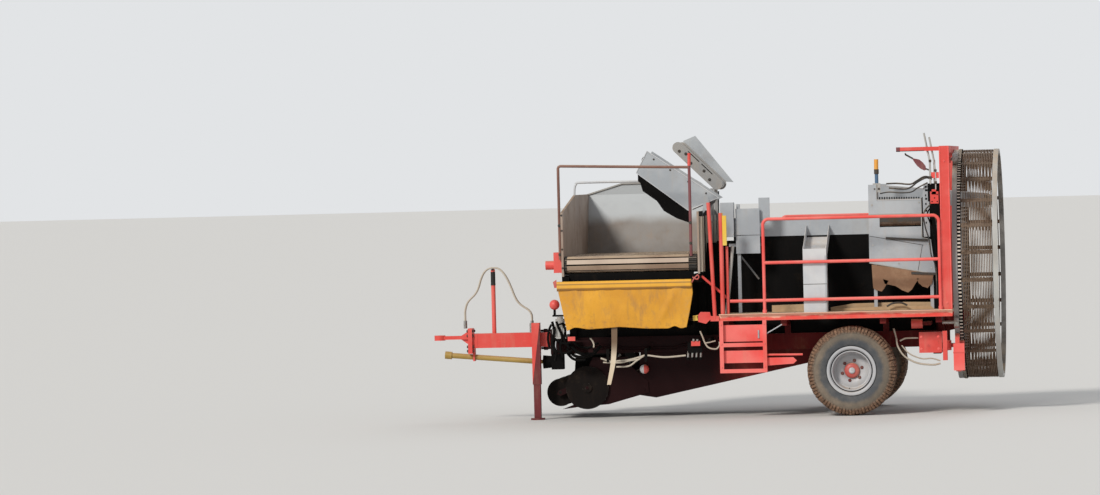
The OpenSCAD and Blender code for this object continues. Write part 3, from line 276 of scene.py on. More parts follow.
def canvas_finish(name):
    """Coated cloth, mustard yellow, with brown rub marks, soil splashes, painted shade along its creases and a fine
    weave
    """
    f = Finish(name, 0.62)
    base = f.mix(f.mask(f.noise(2.2, 5), 0.3, 0.7), rgb(226, 162, 38), rgb(206, 142, 30))
    rub = f.mask(f.noise(2.6, 7, 0.7, (2.0, 1, 0.7)), 0.5, 0.7)
    colour = f.over(base, rgb(158, 116, 70), rub, 0.6)
    # Darker streaks along the creases: painted shade
    crease_shade = f.mask(f.noise(4.5, 6, 0.65, (3.2, 1, 0.45)), 0.56, 0.72)
    colour = f.over(colour, rgb(138, 104, 66), crease_shade, 0.35)
    sides = f.mask(f.math("ABSOLUTE", f.math("SUBTRACT", f.axis("X"), CLOTH_MIDDLE)), 0.58, 0.8)
    worn = f.mask(f.noise(5, 7, 0.7), 0.42, 0.62)
    colour = f.over(colour, rgb(176, 148, 104), f.times(sides, worn), 0.55)
    colour = f.over(colour, rgb(240, 180, 58), f.mask(f.axis("Z"), HEM_FOOT, HEM_FOOT + 0.008), 0.6)
    for low, high in SEAMS:
        seam = f.times(f.mask(f.axis("Z"), high + 0.006, high), f.mask(f.axis("Z"), low - 0.006, low))
        colour = f.over(colour, rgb(134, 92, 44), seam, 0.7)
    low = f.mask(f.axis("Z"), SPLASH_TOP, SPLASH_FULL)
    splash = f.mask(f.noise(14, 7, 0.75), 0.5, 0.7)
    colour = f.over(colour, rgb(120, 90, 60), f.times(low, splash), 0.6)
    f.colour(colour)
    f.shader.inputs["Sheen Weight"].default_value = 0.15
    f.bump(f.noise(6, 6, 0.6, (1, 1, 0.6)), 0.5, 0.02)
    f.bump(f.noise(600, 2), 0.15, 0.001)
    return f.material


def frame_centre(node):
    low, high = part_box(node)
    return (low + high) / 2


# Paints: tone, bleached tone, dirt, wear; then where they differ from painted's own, dust, roughness and shade
PAINTS = {
    "red": ((216, 67, 58), (226, 97, 88), 0.18, 0.4),
    "coral": ((234, 79, 72), (240, 114, 106), 0.14, 0.3),
    # dark_red: red paint darkened as painted shade under the machine, going near black towards the front
    "dark_red": ((84, 18, 19), (104, 28, 27), 0.2, 0.25, SOIL, 0.45, ("X", 0.35, -0.1, rgb(34, 9, 10))),
    "jack_red": ((104, 24, 28), (74, 20, 22), 0.2, 0.2),
    "black": ((7, 6, 6), (13, 12, 11), 0.06, 0.06, rgb(60, 52, 44), 0.8),
    "cream": ((206, 192, 168), (222, 212, 194), 0.3, 0.2),
    "strap": ((206, 186, 158), (220, 204, 180), 0.3, 0.1, DRY_SOIL, 0.45, ("Z", 0.72, 0.92, rgb(112, 88, 66))),
    "far_wall": ((136, 130, 124), (120, 108, 98), 0.4, 0.3, SOIL, 0.45, ("Z", 2.25, 2.42, rgb(184, 188, 190))),
    # under: near black as painted shade on the coulters and ridge roller in the digging end
    "under": ((24, 19, 17), (16, 12, 11), 0.14, 0.2, rgb(64, 50, 40), 0.8),
    "hub_red": ((182, 72, 64), (198, 104, 96), 0.2, 0.3),
    "stud": ((84, 30, 28), (110, 50, 44), 0.3, 0.2),
    "mid_grey": ((148, 148, 148), (162, 159, 154), 0.3, 0.3),
    "edge_red": ((226, 66, 56), (232, 96, 84), 0.25, 0.4, DRY_SOIL, 0.45, ("Z", 1.175, 1.2, rgb(240, 192, 166))),
    "rim_inside": ((58, 56, 54), (176, 172, 166), 0.3, 0.2),
    "grey": ((158, 163, 168), (180, 184, 187), 0.2, 0.25),
    "dark_grey": ((78, 80, 82), (98, 98, 98), 0.3, 0.4),
    "white": ((190, 192, 196), (208, 208, 208), 0.12, 0.2),
    "disc": ((168, 169, 173), (186, 186, 187), 0.2, 0.2),
    "pale_grey": ((182, 182, 178), (160, 156, 150), 0.3, 0.3),
    "bunker": ((172, 156, 143), (150, 130, 116), 0.5, 0.4, SOIL),
    "brown": ((112, 74, 62), (134, 96, 82), 0.25, 0.5),
    "yellow": ((232, 186, 52), (226, 194, 92), 0.25, 0.3),
    "orange": ((226, 150, 44), (232, 172, 84), 0.2, 0.3),
    "blue": ((64, 96, 128), (84, 112, 140), 0.2, 0.3),
    "dull_yellow": ((160, 128, 54), (176, 146, 78), 0.3, 0.2),
    "boards": ((176, 142, 104), (196, 168, 130), 0.6, 0.2),
    "slats": ((150, 124, 104), (172, 148, 126), 0.35, 0.3),
    "pale_slat": ((172, 150, 132), (188, 168, 148), 0.2, 0.2),
    "maroon": ((112, 52, 56), (126, 74, 76), 0.2, 0.3),
    "chain_tip": ((214, 206, 194), (196, 184, 168), 0.2, 0.2),
}
FINISHES = {name: painted(name, rgb(*base), rgb(*faded), *others)
            for name, (base, faded, *others) in PAINTS.items()}
FINISHES.update({
    "flap": rubber("flap", rgb(138, 104, 78), rgb(172, 140, 110), 0.6),
    "steel": bare_metal("steel", rgb(176, 174, 170), SOIL, 0.25, 0.35, 0.8),
    "hoops": bare_metal("hoops", rgb(118, 98, 80), rgb(84, 64, 48), 0.5, 0.6, 0.2),
    "combs": bare_metal("combs", rgb(128, 96, 70), rgb(84, 58, 42), 0.6, 0.8, 0.1),
    "web": bare_metal("web", rgb(118, 92, 70), rgb(70, 52, 40), 0.6, 0.8, 0.1),
    "dark_steel": bare_metal("dark_steel", rgb(72, 70, 68), rgb(96, 80, 64), 0.5, 0.6, 0.4),
    "rubber": rubber("rubber", rgb(26, 25, 24)),
    "belt": rubber("belt", rgb(70, 62, 54), SOIL, 0.8),
    "hose": rubber("hose", rgb(52, 52, 52), DRY_SOIL, 0.45),
    "pale_hose": rubber("pale_hose", rgb(190, 180, 164), SOIL, 0.35),
    "tyre": tyre_finish("tyre"),
    "canvas": canvas_finish("canvas"),
})
# Dull dark paint and painted shade give back little light
for name in ("black", "under", "dark_red"):
    FINISHES[name].node_tree.nodes["Principled BSDF"].inputs["Specular IOR Level"].default_value = 0.12


def finish(node, first, *others):
    """Gives a CAD node its finish; each of others is a finish's name and a test of a face's centre"""
    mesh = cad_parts[node].data
    mesh.materials.clear()
    for name in [first] + [name for name, test in others]:
        mesh.materials.append(FINISHES[name])
    for face in mesh.polygons:
        face.material_index = 0
        for index, (name, test) in enumerate(others, 1):
            if test(face.center):
                face.material_index = index


RING_X, RING_END = (corner.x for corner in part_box("ring_cage"))
RING_CENTRE = frame_centre("ring_cage")
RIM_WIDTH = 0.058
RIM_END = RING_X + RIM_WIDTH
CHAIN_WIDTH = 0.044
RING_RADIUS = 1.36


def ring_radius(p):
    return hypot(p.y - RING_CENTRE.y, p.z - RING_CENTRE.z)


def on_front_rim(p):
    return p.x < RIM_END + 0.001 and ring_radius(p) > RING_RADIUS - 0.05


def on_chain(p):
    return RIM_END < p.x < RIM_END + CHAIN_WIDTH + 0.001 and ring_radius(p) > RING_RADIUS - 0.046


def on_rear_rim(p):
    return p.x > RING_END - RIM_WIDTH - 0.001 and ring_radius(p) > RING_RADIUS - 0.05


def inside_rear_rim(p):
    return on_rear_rim(p) and ring_radius(p) < RING_RADIUS - 0.044


def on_hoops(p):
    return ring_radius(p) > RING_RADIUS - 0.0185


for name, nodes in {
    "dark_red": ("front_bracket", "steer_barrel", "digger_frame", "lift_barrels"),
    "dark_steel": ("axle_beam", "finger_web"),
    "web": ("sieving_web", "intake_web"),
    "coral": ("handrail_left", "handrail_right", "ladder"),
    "red": ("mast", "ring_drive", "bunker_drive", "drawbar", "towing_eye"),
    "steel": ("ring_guide_rollers", "valve_block", "hose_couplers", "steer_rod", "lift_rods"),
    # bunker_legs black: painted shade under the bunker
    "black": ("bunker_legs", "pto_gearbox", "filler_flap"),
    # Coulters and ridge roller near black: painted shade
    "under": ("coulter_left", "coulter_right", "ridge_roller"),
    "white": ("stone_chute",), "grey": ("filler_case",), "rubber": ("filler_belt",), "jack_red": ("jack_leg",),
    "dull_yellow": ("pto_shaft",),
}.items():
    for node in nodes:
        finish(node, name)

# Places in metres where a finish changes
# Below this the picking table's faces are black: painted shade under the table
TABLE_SKIRT_TOP = 2.1
CHUTE_EDGE = -0.862
END_WALL = -0.11
WALL_FOLD = 2.375
# Discharge drum of the moving floor: Y and Z of its axis, and its radius
DRUM = (-1.355, 1.835)
DRUM_RADIUS = 0.095


def on_slat(p):
    """The outside of a slat: flat on the top run, and round the drum at the discharge side"""
    if p.y > DRUM[0]:
        return p.z > DRUM[1] + DRUM_RADIUS - 0.0006
    return hypot(p.y - DRUM[0], p.z - DRUM[1]) > DRUM_RADIUS - 0.0035


finish("ring_cage", "combs", ("hoops", on_hoops), ("mid_grey", on_front_rim), ("black", on_chain),
       ("pale_grey", on_rear_rim), ("rim_inside", inside_rear_rim))
finish("ring_chain", "black", ("chain_tip", lambda p: ring_radius(p) > RING_RADIUS + 0.0025))
# Black below the skirt's top: painted shade under the table
finish("picking_table", "grey", ("black", lambda p: p.z < TABLE_SKIRT_TOP))
finish("elevator_far", "grey", ("mid_grey", lambda p: p.y < 0.755))
finish("hose_post", "red", ("rubber", lambda p: p.z > 1.78))
finish("front_uprights", "red", ("yellow", lambda p: 0.16 < p.x < 0.22 and p.z > 2.02))
finish("switch_boxes", "grey",
       ("dark_grey", lambda p: -1.031 < p.y < -0.95 and p.x > 0.27 and not 2.26 < p.z < 2.58),
       ("grey", lambda p: p.y < -1.0299), ("pale_grey", lambda p: p.y < -1.2))
finish("separator_panels", "grey", ("black", lambda p: abs(p.y) < 1.0849 and p.z < 1.86),
       ("flap", lambda p: abs(p.y) > 1.0951))
finish("infeed_web", "belt", ("grey", lambda p: abs(p.y) > 0.6212))
finish("bunker_walls", "bunker", ("far_wall", lambda p: p.y > 1.1),
       ("cream", lambda p: p.x > END_WALL + 0.0005 and p.z < WALL_FOLD),
       ("black", lambda p: abs(p.x - END_WALL) < 0.0004),
       ("grey", lambda p: p.x > END_WALL + 0.0005 and p.z > WALL_FOLD))
# The floor is black but for the slats' outer faces: painted shade in the gaps and under the drum
finish("bunker_floor", "black", ("slats", on_slat),
       ("pale_slat", lambda p: on_slat(p) and p.y < DRUM[0] - 0.05 and 1.85 < p.z < 1.885))
finish("jack_sleeve", "jack_red", ("red", lambda p: p.z > 0.87 and p.y < -0.85))
finish("accumulator", "red", ("black", lambda p: p.z < 1.3))
finish("main_frame", "dark_red", ("black", lambda p: p.x < -1.75 and p.z > 0.962))
# Near side plates in the lit red; the rest in dark_red, which paints their shade
finish("web_side_plates", "dark_red", ("red", lambda p: p.y < -0.7 and p.x > CHUTE_EDGE),
       ("white", lambda p: p.y < -0.7 and p.x <= CHUTE_EDGE))
finish("control_valves", "pale_grey", ("black", lambda p: p.x > 2.55 and p.z < 2.7))
for side in ("left", "right"):
    finish("platform_" + side, "edge_red", ("boards", lambda p: p.z > 1.21 and abs(p.y) < 1.449))

NEAR = Vector((0, -1, 0))
UP = Vector((0, 0, 1))
# Faces of a box whose corners are numbered with X running first, then Y, then Z
BOX_FACES = [(0, 2, 3, 1), (4, 5, 7, 6), (0, 1, 5, 4), (2, 6, 7, 3), (0, 4, 6, 2), (1, 3, 7, 5)]


def circle(sides, radius=1.0):
    turns = [2 * pi * k / sides for k in range(sides)]
    return [(radius * cos(turn), radius * sin(turn)) for turn in turns]


def grid(rows, columns, round_rows=False, round_columns=False):
    """The faces between rows of points; round ones go on to where they started"""
    return [(i * columns + k, i * columns + (k + 1) % columns,
             (i + 1) % rows * columns + (k + 1) % columns, (i + 1) % rows * columns + k)
            for i in range(rows if round_rows else rows - 1)
            for k in range(columns if round_columns else columns - 1)]


def square_to(axis):
    """Two directions square to an axis, and the axis itself"""
    axis = Vector(axis).normalized()
    first = axis.orthogonal().normalized()
    return first, axis.cross(first), axis


class Shape:
    """Gathers faces into one mesh, each with one of the finishes named when it is made"""

    def __init__(self, name, *finishes):
        self.name = name
        self.finishes = finishes
        self.points = []
        self.faces = []
        self.looks = []

    def add(self, points, faces, look=0, smooth=False):
        start = len(self.points)
        self.points += [Vector(p) for p in points]
        self.faces += [[start + i for i in face] for face in faces]
        self.looks += [(look, smooth)] * len(faces)

    def plate(self, outline, y0, y1, look=0):
        """A plate in the XZ plane, from y0 to y1"""
        n = len(outline)
        points = [(x, y, z) for y in (y0, y1) for x, z in outline]
        self.add(points, grid(2, n, False, True) + [tuple(range(n)), tuple(reversed(range(n, 2 * n)))], look)

    def box(self, low, high, look=0):
        x, y, z = zip(low, high)
        points = [(x[i & 1], y[i >> 1 & 1], z[i >> 2]) for i in range(8)]
        self.add(points, BOX_FACES, look)

    def sweep(self, path, outline, look=0):
        """Carries an outline, points of (sideways, upwards), along an open path"""
        path = [Vector(p) for p in path]
        count, sides = len(path), len(outline)
        points = []
        side = None
        for i, spot in enumerate(path):
            before = path[max(i - 1, 0)]
            after = path[min(i + 1, count - 1)]
            heading = (after - before).normalized()
            if side is None:
                reference = UP if abs(heading.dot(UP)) < 0.95 else Vector((1, 0, 0))
                side = heading.cross(reference).normalized()
            else:
                side = (side - heading * side.dot(heading)).normalized()
            above = side.cross(heading)
            points += [spot + side * a + above * b for a, b in outline]
        self.add(points, grid(count, sides, False, True), look, True)
        self.add(points[:sides], [tuple(reversed(range(sides)))], look)
        self.add(points[-sides:], [tuple(range(sides))], look)

    def tube(self, path, radius, look=0, sides=10):
        self.sweep(path, circle(sides, radius), look)

    def line(self, y, radius, look, sides, *points):
        """A straight-sided tube in the plane at y, through points of X and Z"""
        self.tube([(x, y, z) for x, z in points], radius, look, sides)

    def hoses(self, y, *hoses):
        """Smooth hoses in the plane at y, each a look, a radius and its points of X and Z"""
        for look, radius, *points in hoses:
            self.tube(smooth_route([(x, y, z) for x, z in points], 5), radius, look, 8)

    def turned(self, centre, axis, profile, look=0, segments=48):
        """A closed profile of (radius, distance along the axis) turned about the axis"""
        first, second, axis = square_to(axis)
        points = []
        for c, s in circle(segments):
            out = first * c + second * s
            points += [Vector(centre) + out * r + axis * d for r, d in profile]
        self.add(points, grid(segments, len(profile), True, True), look, True)

    def bolt(self, spot, axis, size, look=0):
        """A hexagon head with a washer under it; size is across the flats"""
        first, second, axis = square_to(axis)
        for radius, low, high, sides in ((0.85, 0, 0.12, 12), (0.55, 0.12, 0.55, 6)):
            ring = [first * c + second * s for c, s in circle(sides)]
            points = [Vector(spot) + (r * radius + axis * h) * size for h in (low, high) for r in ring]
            self.add(points, grid(2, sides, False, True) + [tuple(range(sides, 2 * sides))], look)

    def bolts(self, y, size, look, *places):
        """Bolts on a face at y that looks to the near side, at places of X and Z"""
        for x, z in places:
            self.bolt((x, y, z), NEAR, size, look)

    def done(self, body, slot, *replaced):
        mesh = bpy.data.meshes.new(self.name)
        mesh.from_pydata(self.points, [], self.faces)
        for name in self.finishes:
            mesh.materials.append(FINISHES[name])
        for face, (look, smooth) in zip(mesh.polygons, self.looks):
            face.material_index = look
            face.use_smooth = smooth
        tidy = bmesh.new()
        tidy.from_mesh(mesh)
        bmesh.ops.recalc_face_normals(tidy, faces=tidy.faces)
        tidy.to_mesh(mesh)
        tidy.free()
        piece = place(self.name, mesh)
        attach(piece, body)
        if replaced:
            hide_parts(*replaced)
        return piece


def smooth_route(points, steps=6):
    """A curve through the points, as Catmull and Rom draw it"""
    points = [Vector(p) for p in points]
    ends = [2 * points[0] - points[1]] + points + [2 * points[-1] - points[-2]]
    route = []
    for i in range(1, len(ends) - 2):
        a, b, c, d = ends[i - 1:i + 3]
        for s in range(steps):
            t = s / steps
            route.append(0.5 * (2 * b + (c - a) * t + (2 * a - 5 * b + 4 * c - d) * t * t
                + (3 * b - a - 3 * c + d) * t ** 3))
    return route + [points[-1]]


# Hoses over the post: the same points as in the part, off to one side of the post
DRAWBAR_Y = -0.745
HOSE_DIAMETER = 0.018
HOSE_ROUTE = [
    (-2.19, 1.1746), (-2.19, 1.215), (-2.2, 1.262), (-2.232, 1.305), (-2.285, 1.34), (-2.335, 1.38),
    (-2.375, 1.435), (-2.405, 1.505), (-2.435, 1.585), (-2.47, 1.665), (-2.51, 1.735), (-2.555, 1.786),
    (-2.6, 1.808), (-2.645, 1.811), (-2.69, 1.804), (-2.735, 1.775), (-2.77, 1.725), (-2.795, 1.665),
    (-2.815, 1.6), (-2.84, 1.54), (-2.875, 1.49), (-2.92, 1.448), (-2.96, 1.4), (-2.98, 1.345),
    (-2.99, 1.29), (-2.99, 1.24), (-2.99, 1.19),
]


def make_hose(name, node, offset):
    points = [Vector((x, DRAWBAR_Y + offset, z)) for x, z in HOSE_ROUTE]
    last = len(points) - 1
    route = []
    for i, point in enumerate(points[:-1]):
        after = points[i + 1]
        route += [point, (9 * (point + after) - points[max(i - 1, 0)] - points[min(i + 2, last)]) / 16]
    route.append(points[-1])
    hose = Shape(name, "pale_hose")
    hose.tube(smooth_route(route, 3), HOSE_DIAMETER / 2, sides=12)
    piece = hose.done("drawbar", "grey_hose", node)
    length = sum((b - a).length for a, b in zip(route, route[1:]))
    return piece, route, length


for name, node, offset in (("drawbar_hose_a", "hose_a", -0.03), ("drawbar_hose_b", "hose_b", 0.03)):
    piece, route, length = make_hose(name, node, offset)

# Tyre sizes
TYRE_RADIUS = 0.525
RIM_RADIUS = 0.285
TREAD_DEPTH = 0.016
TREAD_BLOCKS = 76
BLOCK_FACES = BOX_FACES[:4] + BOX_FACES[5:]


def make_tyre(side):
    """Rounded carcass with shoulder blocks and a zigzag centre rib"""
    centre = frame_centre("rim_" + side)
    tyre = Shape("tyre_tread_" + side, "tyre")
    base = TYRE_RADIUS - TREAD_DEPTH
    half = [(RIM_RADIUS, 0.172), (RIM_RADIUS + 0.02, 0.184), (0.345, 0.196), (0.4, 0.199), (0.445, 0.192),
        (0.478, 0.175), (base - 0.006, 0.15), (base, 0.09)]
    inside = [(RIM_RADIUS + 0.03, 0.15), (0.47, 0.15), (0.47, -0.15), (RIM_RADIUS + 0.03, -0.15)]
    profile = [(r, -y) for r, y in half] + half[::-1] + inside
    tyre.turned(centre, (0, 1, 0), profile, segments=96)

    def at(angle, radius, across):
        return centre + Vector((radius * cos(angle), across, radius * sin(angle)))

    step = 2 * pi / TREAD_BLOCKS
    worn = random.Random(5)
    shoulder = ((0.085, TYRE_RADIUS), (0.12, TYRE_RADIUS - 0.002), (0.176, 0.512), (0.197, 0.47))
    rib = ((0.022, TYRE_RADIUS), (0.068, TYRE_RADIUS))
    rows = [[(-y, r) for y, r in row[::-1]] for row in (shoulder, rib)] + [rib, shoulder]
    for i in range(TREAD_BLOCKS):
        for number, row in enumerate(rows):
            start = (i + 0.5 * (number % 2) + worn.uniform(-0.1, 0.1)) * step
            depth = worn.uniform(0.0, 0.007)
            for (y0, r0), (y1, r1) in zip(row, row[1:]):
                lean = 0.25 * step if number in (1, 2) else 0
                low = min(r0, r1) - 0.045
                corners = []
                for y, r, shift in ((y0, r0, -lean), (y1, r1, lean)):
                    for angle in (start + shift, start + shift + 0.74 * step):
                        corners += [at(angle, max(low, 0.44), y), at(angle, r - depth, y)]
                tyre.add(corners, BLOCK_FACES)
    return tyre.done("wheel_" + side, "tyre_rubber", "tyre_" + side)


# Wheel nuts, on a circle round the hub
NUT_CIRCLE = 0.119


def make_hub(side):
    out = -1 if side == "left" else 1
    centre = frame_centre("rim_" + side)
    axis = (0, out, 0)
    face = centre + Vector((0, out * 0.036, 0))
    hub = Shape("wheel_disc_" + side, "hub_red", "disc", "stud", "rubber", "black")
    # Rim with its bead flange, lock ring, well and disc, turned from a half section of radius and distance outwards
    hub.turned(centre, axis, [(0.289, 0.178), (0.289, 0.188), (0.284, 0.19), (0.264, 0.19), (0.257, 0.187),
        (0.252, 0.178), (0.247, 0.16), (0.236, 0.16), (0.233, 0.17), (0.228, 0.172), (0.222, 0.166), (0.217, 0.12),
        (0.213, 0.06), (0.206, 0.04), (0.198, 0.032), (0.192, 0.036), (0.085, 0.036), (0.085, -0.06),
        (0.036, -0.06), (0.036, -0.05), (0.078, -0.04), (0.078, 0.022), (0.19, 0.022), (0.212, 0.006),
        (0.275, 0.006), (0.275, -0.19), (0.289, -0.19), (0.289, -0.178), (0.2847, -0.178), (0.2847, 0.178)], 1, 96)
    # Black ring in the groove inside the flange: painted shade
    hub.turned(centre, axis, [(0.2468, 0.1605), (0.2468, 0.1625), (0.2362, 0.1625), (0.2362, 0.1605)], 4, 96)
    hub.turned(face, axis, [(0.0, 0.0), (0.0895, 0), (0.0895, 0.01), (0.084, 0.024), (0.066, 0.034), (0.04, 0.04),
        (0.0, 0.04)], 0, 40)
    hub.turned(face, axis, [(0.0, 0.039), (0.037, 0.039), (0.037, 0.05), (0.032, 0.055), (0.0, 0.055)], 1, 32)
    for i in range(6):
        a = 2 * pi * (i + 0.26) / 6
        hub.bolt(face + Vector((NUT_CIRCLE * cos(a), 0, NUT_CIRCLE * sin(a))), axis, 0.024, 2)
    valve = centre + Vector((-0.035, out * 0.03, -0.205))
    hub.tube([valve, valve + Vector((0, out * 0.06, -0.004))], 0.005, 3, 8)
    return hub.done("wheel_" + side, "silver_paint", "rim_" + side)


for side in ("left", "right"):
    make_tyre(side)
for side in ("left", "right"):
    make_hub(side)

# Canvas curtain: corners of the cloth and its hem
CANVAS_LOW, CANVAS_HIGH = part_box("canvas")
HEM_DROP = 0.112
CANVAS_LEFT = ((1.68, -1.798), (1.514, -1.78), (1.303, -1.737), (1.06, -1.69))
CANVAS_RIGHT = ((1.68, -0.214), (1.478, -0.197), (1.269, -0.235), (1.06, -0.278))
CANVAS_FOOT = ((-1.7, 1.064), (-1.588, 1.101), (-1.422, 1.078), (-1.296, 1.084), (-1.065, 1.098), (-0.752, 1.072),
    (-0.501, 1.068), (-0.417, 1.094), (-0.34, 1.068), (-0.27, 1.08))


def between(table, at):
    """The second value at a place among the first ones, which run one way"""
    for (a, low), (b, high) in zip(table, table[1:]):
        if min(a, b) <= at <= max(a, b):
            share = (at - a) / (b - a)
            share = share * share * (3 - 2 * share) if abs(b - a) < 0.2 else share
            return low + share * (high - low)
    return table[0][1] if abs(at - table[0][0]) < abs(at - table[-1][0]) else table[-1][1]


def make_canvas():
    """A hanging cloth, pulled in at the foot, with folds that start at its upper corners and a wavy lower edge"""
    columns, rows = 150, 60
    drop = CANVAS_HIGH.z - CANVAS_LOW.z
    back = CANVAS_HIGH.y
    points = []
    for j in range(rows + 1):
        v = j / rows
        level = CANVAS_HIGH.z - drop * v
        left, right = between(CANVAS_LEFT, level), between(CANVAS_RIGHT, level)
        for i in range(columns + 1):
            u = 2 * i / columns - 1
            x = left + (u + 1) / 2 * (right - left)
            z = level + v ** 3 * (between(CANVAS_FOOT, x) - CANVAS_LOW.z)
            fold = exp(-((abs(u) - 0.8 + 0.3 * v) / 0.06) ** 2) * sin(pi * v)
            ripple = noise.noise(Vector((x * 3.0, z * 4.5, 3.1)))
            pleat = noise.noise(Vector((x * 5.5 + z * 1.4, z * 0.9, 7.7))) * min(1, 2.2 * v)
            belly = sin(pi * v) * (1 - u ** 4)
            y = back - 0.01 - 0.01 * belly - 0.008 * fold + 0.005 * ripple + 0.01 * pleat
            points.append((x, y, z))
    cloth = Shape("canvas_cloth", "canvas")
    cloth.add(points, grid(rows + 1, columns + 1), 0, True)
    # Hem: a band folded over in front of the cloth
    start, end = CANVAS_LEFT[0][1], CANVAS_RIGHT[0][1]
    strip = []
    for k in range(4):
        for i in range(columns + 1):
            u = 2 * i / columns - 1
            x = (start + end) / 2 + u * (end - start) / 2
            z = CANVAS_HIGH.z - HEM_DROP * k / 3 - 0.004 * noise.noise(Vector((x * 9, 1.0, k)))
            y = back - 0.0125 - (0.008 if k in (1, 2) else 0.003) - 0.003 * noise.noise(Vector((x * 7, k, 0)))
            strip.append((x, y, z))
    cloth.add(strip, grid(4, columns + 1), 0, True)
    piece = cloth.done("chassis", "canvas_cloth", "canvas")
    thick = piece.modifiers.new("thickness", "SOLIDIFY")
    thick.thickness = 0.002
    thick.offset = 1


make_canvas()


def round_drum(radius, degrees):
    """Y and Z of a place round the discharge drum"""
    a = radians(degrees)
    return DRUM[0] + radius * cos(a), DRUM[1] + radius * sin(a)


def make_bunker_trim():
    """Hoop, white rail, raised sheet on the far wall, chains at the slats' ends and the tray under them"""
    rails = Shape("bunker_rails_trim", "brown", "white", "maroon", "red", "dark_steel")
    y = -1.415
    left, right = -1.758, -0.212
    rails.line(y, 0.0165, 0, 12, (left, 1.9), (left, 2.972), (left + 0.008, 2.99), (left + 0.026, 2.9985),
        (right, 2.95))
    rails.line(y, 0.0175, 2, 12, (right, 1.91), (right, 2.972))
    rails.line(y, 0.019, 3, 12, (right, 2.968), (right + 0.004, 3.115))
    rail = [(-1.728, 2.62), (-1.722, 2.73), (-1.7, 2.782), (-1.64, 2.797), (-1.0, 2.797), (-0.36, 2.792),
        (-0.235, 2.772), (-0.15, 2.69), (-0.105, 2.56), (-0.095, 2.3)]
    rails.tube(smooth_route([(x, -0.045, z) for x, z in rail]), 0.0135, 1, 12)
    rails.bolts(y - 0.016, 0.022, 4, (left, 1.96), (left, 2.3), (right, 2.06), (right, 2.3))
    rails.done("chassis", "brown_paint", "bunker_rails")

    trim = Shape("bunker_trim", "black", "far_wall", "dark_steel", "pale_grey", "hub_red")
    # Ties at the canvas's upper corners
    trim.plate([(-1.842, 1.64), (-1.8, 1.668), (-1.792, 1.575), (-1.826, 1.57)], -1.4985, -1.4945, 4)
    trim.hoses(-1.488,
        (4, 0.008, (-0.128, 1.69), (-0.15, 1.676), (-0.178, 1.648), (-0.208, 1.6)),
        (4, 0.008, (-0.132, 1.686), (-0.122, 1.66), (-0.146, 1.636), (-0.196, 1.664)))
    # Raised sheet with a folded rim on the far wall
    trim.plate([(-1.735, 2.635), (-1.735, 2.652), (-1.309, 2.778), (-0.42, 2.786), (-0.42, 2.635)], 1.422, 1.428, 1)
    trim.plate([(-1.735, 2.652), (-1.309, 2.778), (-0.42, 2.786), (-0.42, 2.77), (-1.305, 2.762), (-1.735, 2.636)],
        1.404, 1.422, 3)
    # Tray under the moving floor, black as painted shade under the slats
    trim.box((-1.714, -1.358, 1.7215), (-0.136, 1.12, 1.7285))
    # Chains at both ends of the discharge drum: plates, with a roller between each two
    for low, high in ((-1.7045, -1.679), (-0.243, -0.1475)):
        for i in range(19):
            y, z = round_drum(0.0935, 78 + 12 * i)
            trim.line(y, 0.0065, 2, 8, (low, z), (high, z))
        rim = [(x, *round_drum(0.0965, 78 + 9 * i)) for i in range(25) for x in (low, high)]
        trim.add(rim, grid(25, 2), 0, True)
    # Bolts on the near edge of the front end wall
    trim.bolts(-1.45, 0.015, 2, *((-1.7275, z) for z in (1.8, 2.02, 2.24, 2.42)))
    trim.done("chassis", "grey_sheet")


def make_strap():
    """Webbing that hangs from the canvas's bar, swung a little to the front at its free end"""
    low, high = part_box("strap")
    band = Shape("strap_band", "strap")
    rows = smooth_route([(x, 0, z) for x, z in ((-1.128, high.z), (-1.128, 1.3), (-1.134, 1.062), (-1.139, 0.886),
        (-1.156, 0.69), (-1.186, 0.54), (-1.212, 0.422))])
    points = []
    for spot in rows:
        share = (high.z - spot.z) / (high.z - 0.422)
        half = 0.038 - 0.015 * share ** 2
        front, back = low.y, low.y + 0.005
        points += [(spot.x + dx, y, spot.z) for dx, y in ((-half, front), (half, front), (half, back),
            (-half, back))]
    last = 4 * (len(rows) - 1)
    ends = [(0, 1, 2, 3), (last, last + 1, last + 2, last + 3)]
    band.add(points, grid(len(rows), 4, False, True) + ends)
    band.done("chassis", "dirty_belt", "strap")


# Corners of the side plate of the near elevator
FILLER_PLATE = [(-0.885, 2.899), (-0.752, 3.151), (0.084, 2.581), (-0.278, 2.44)]


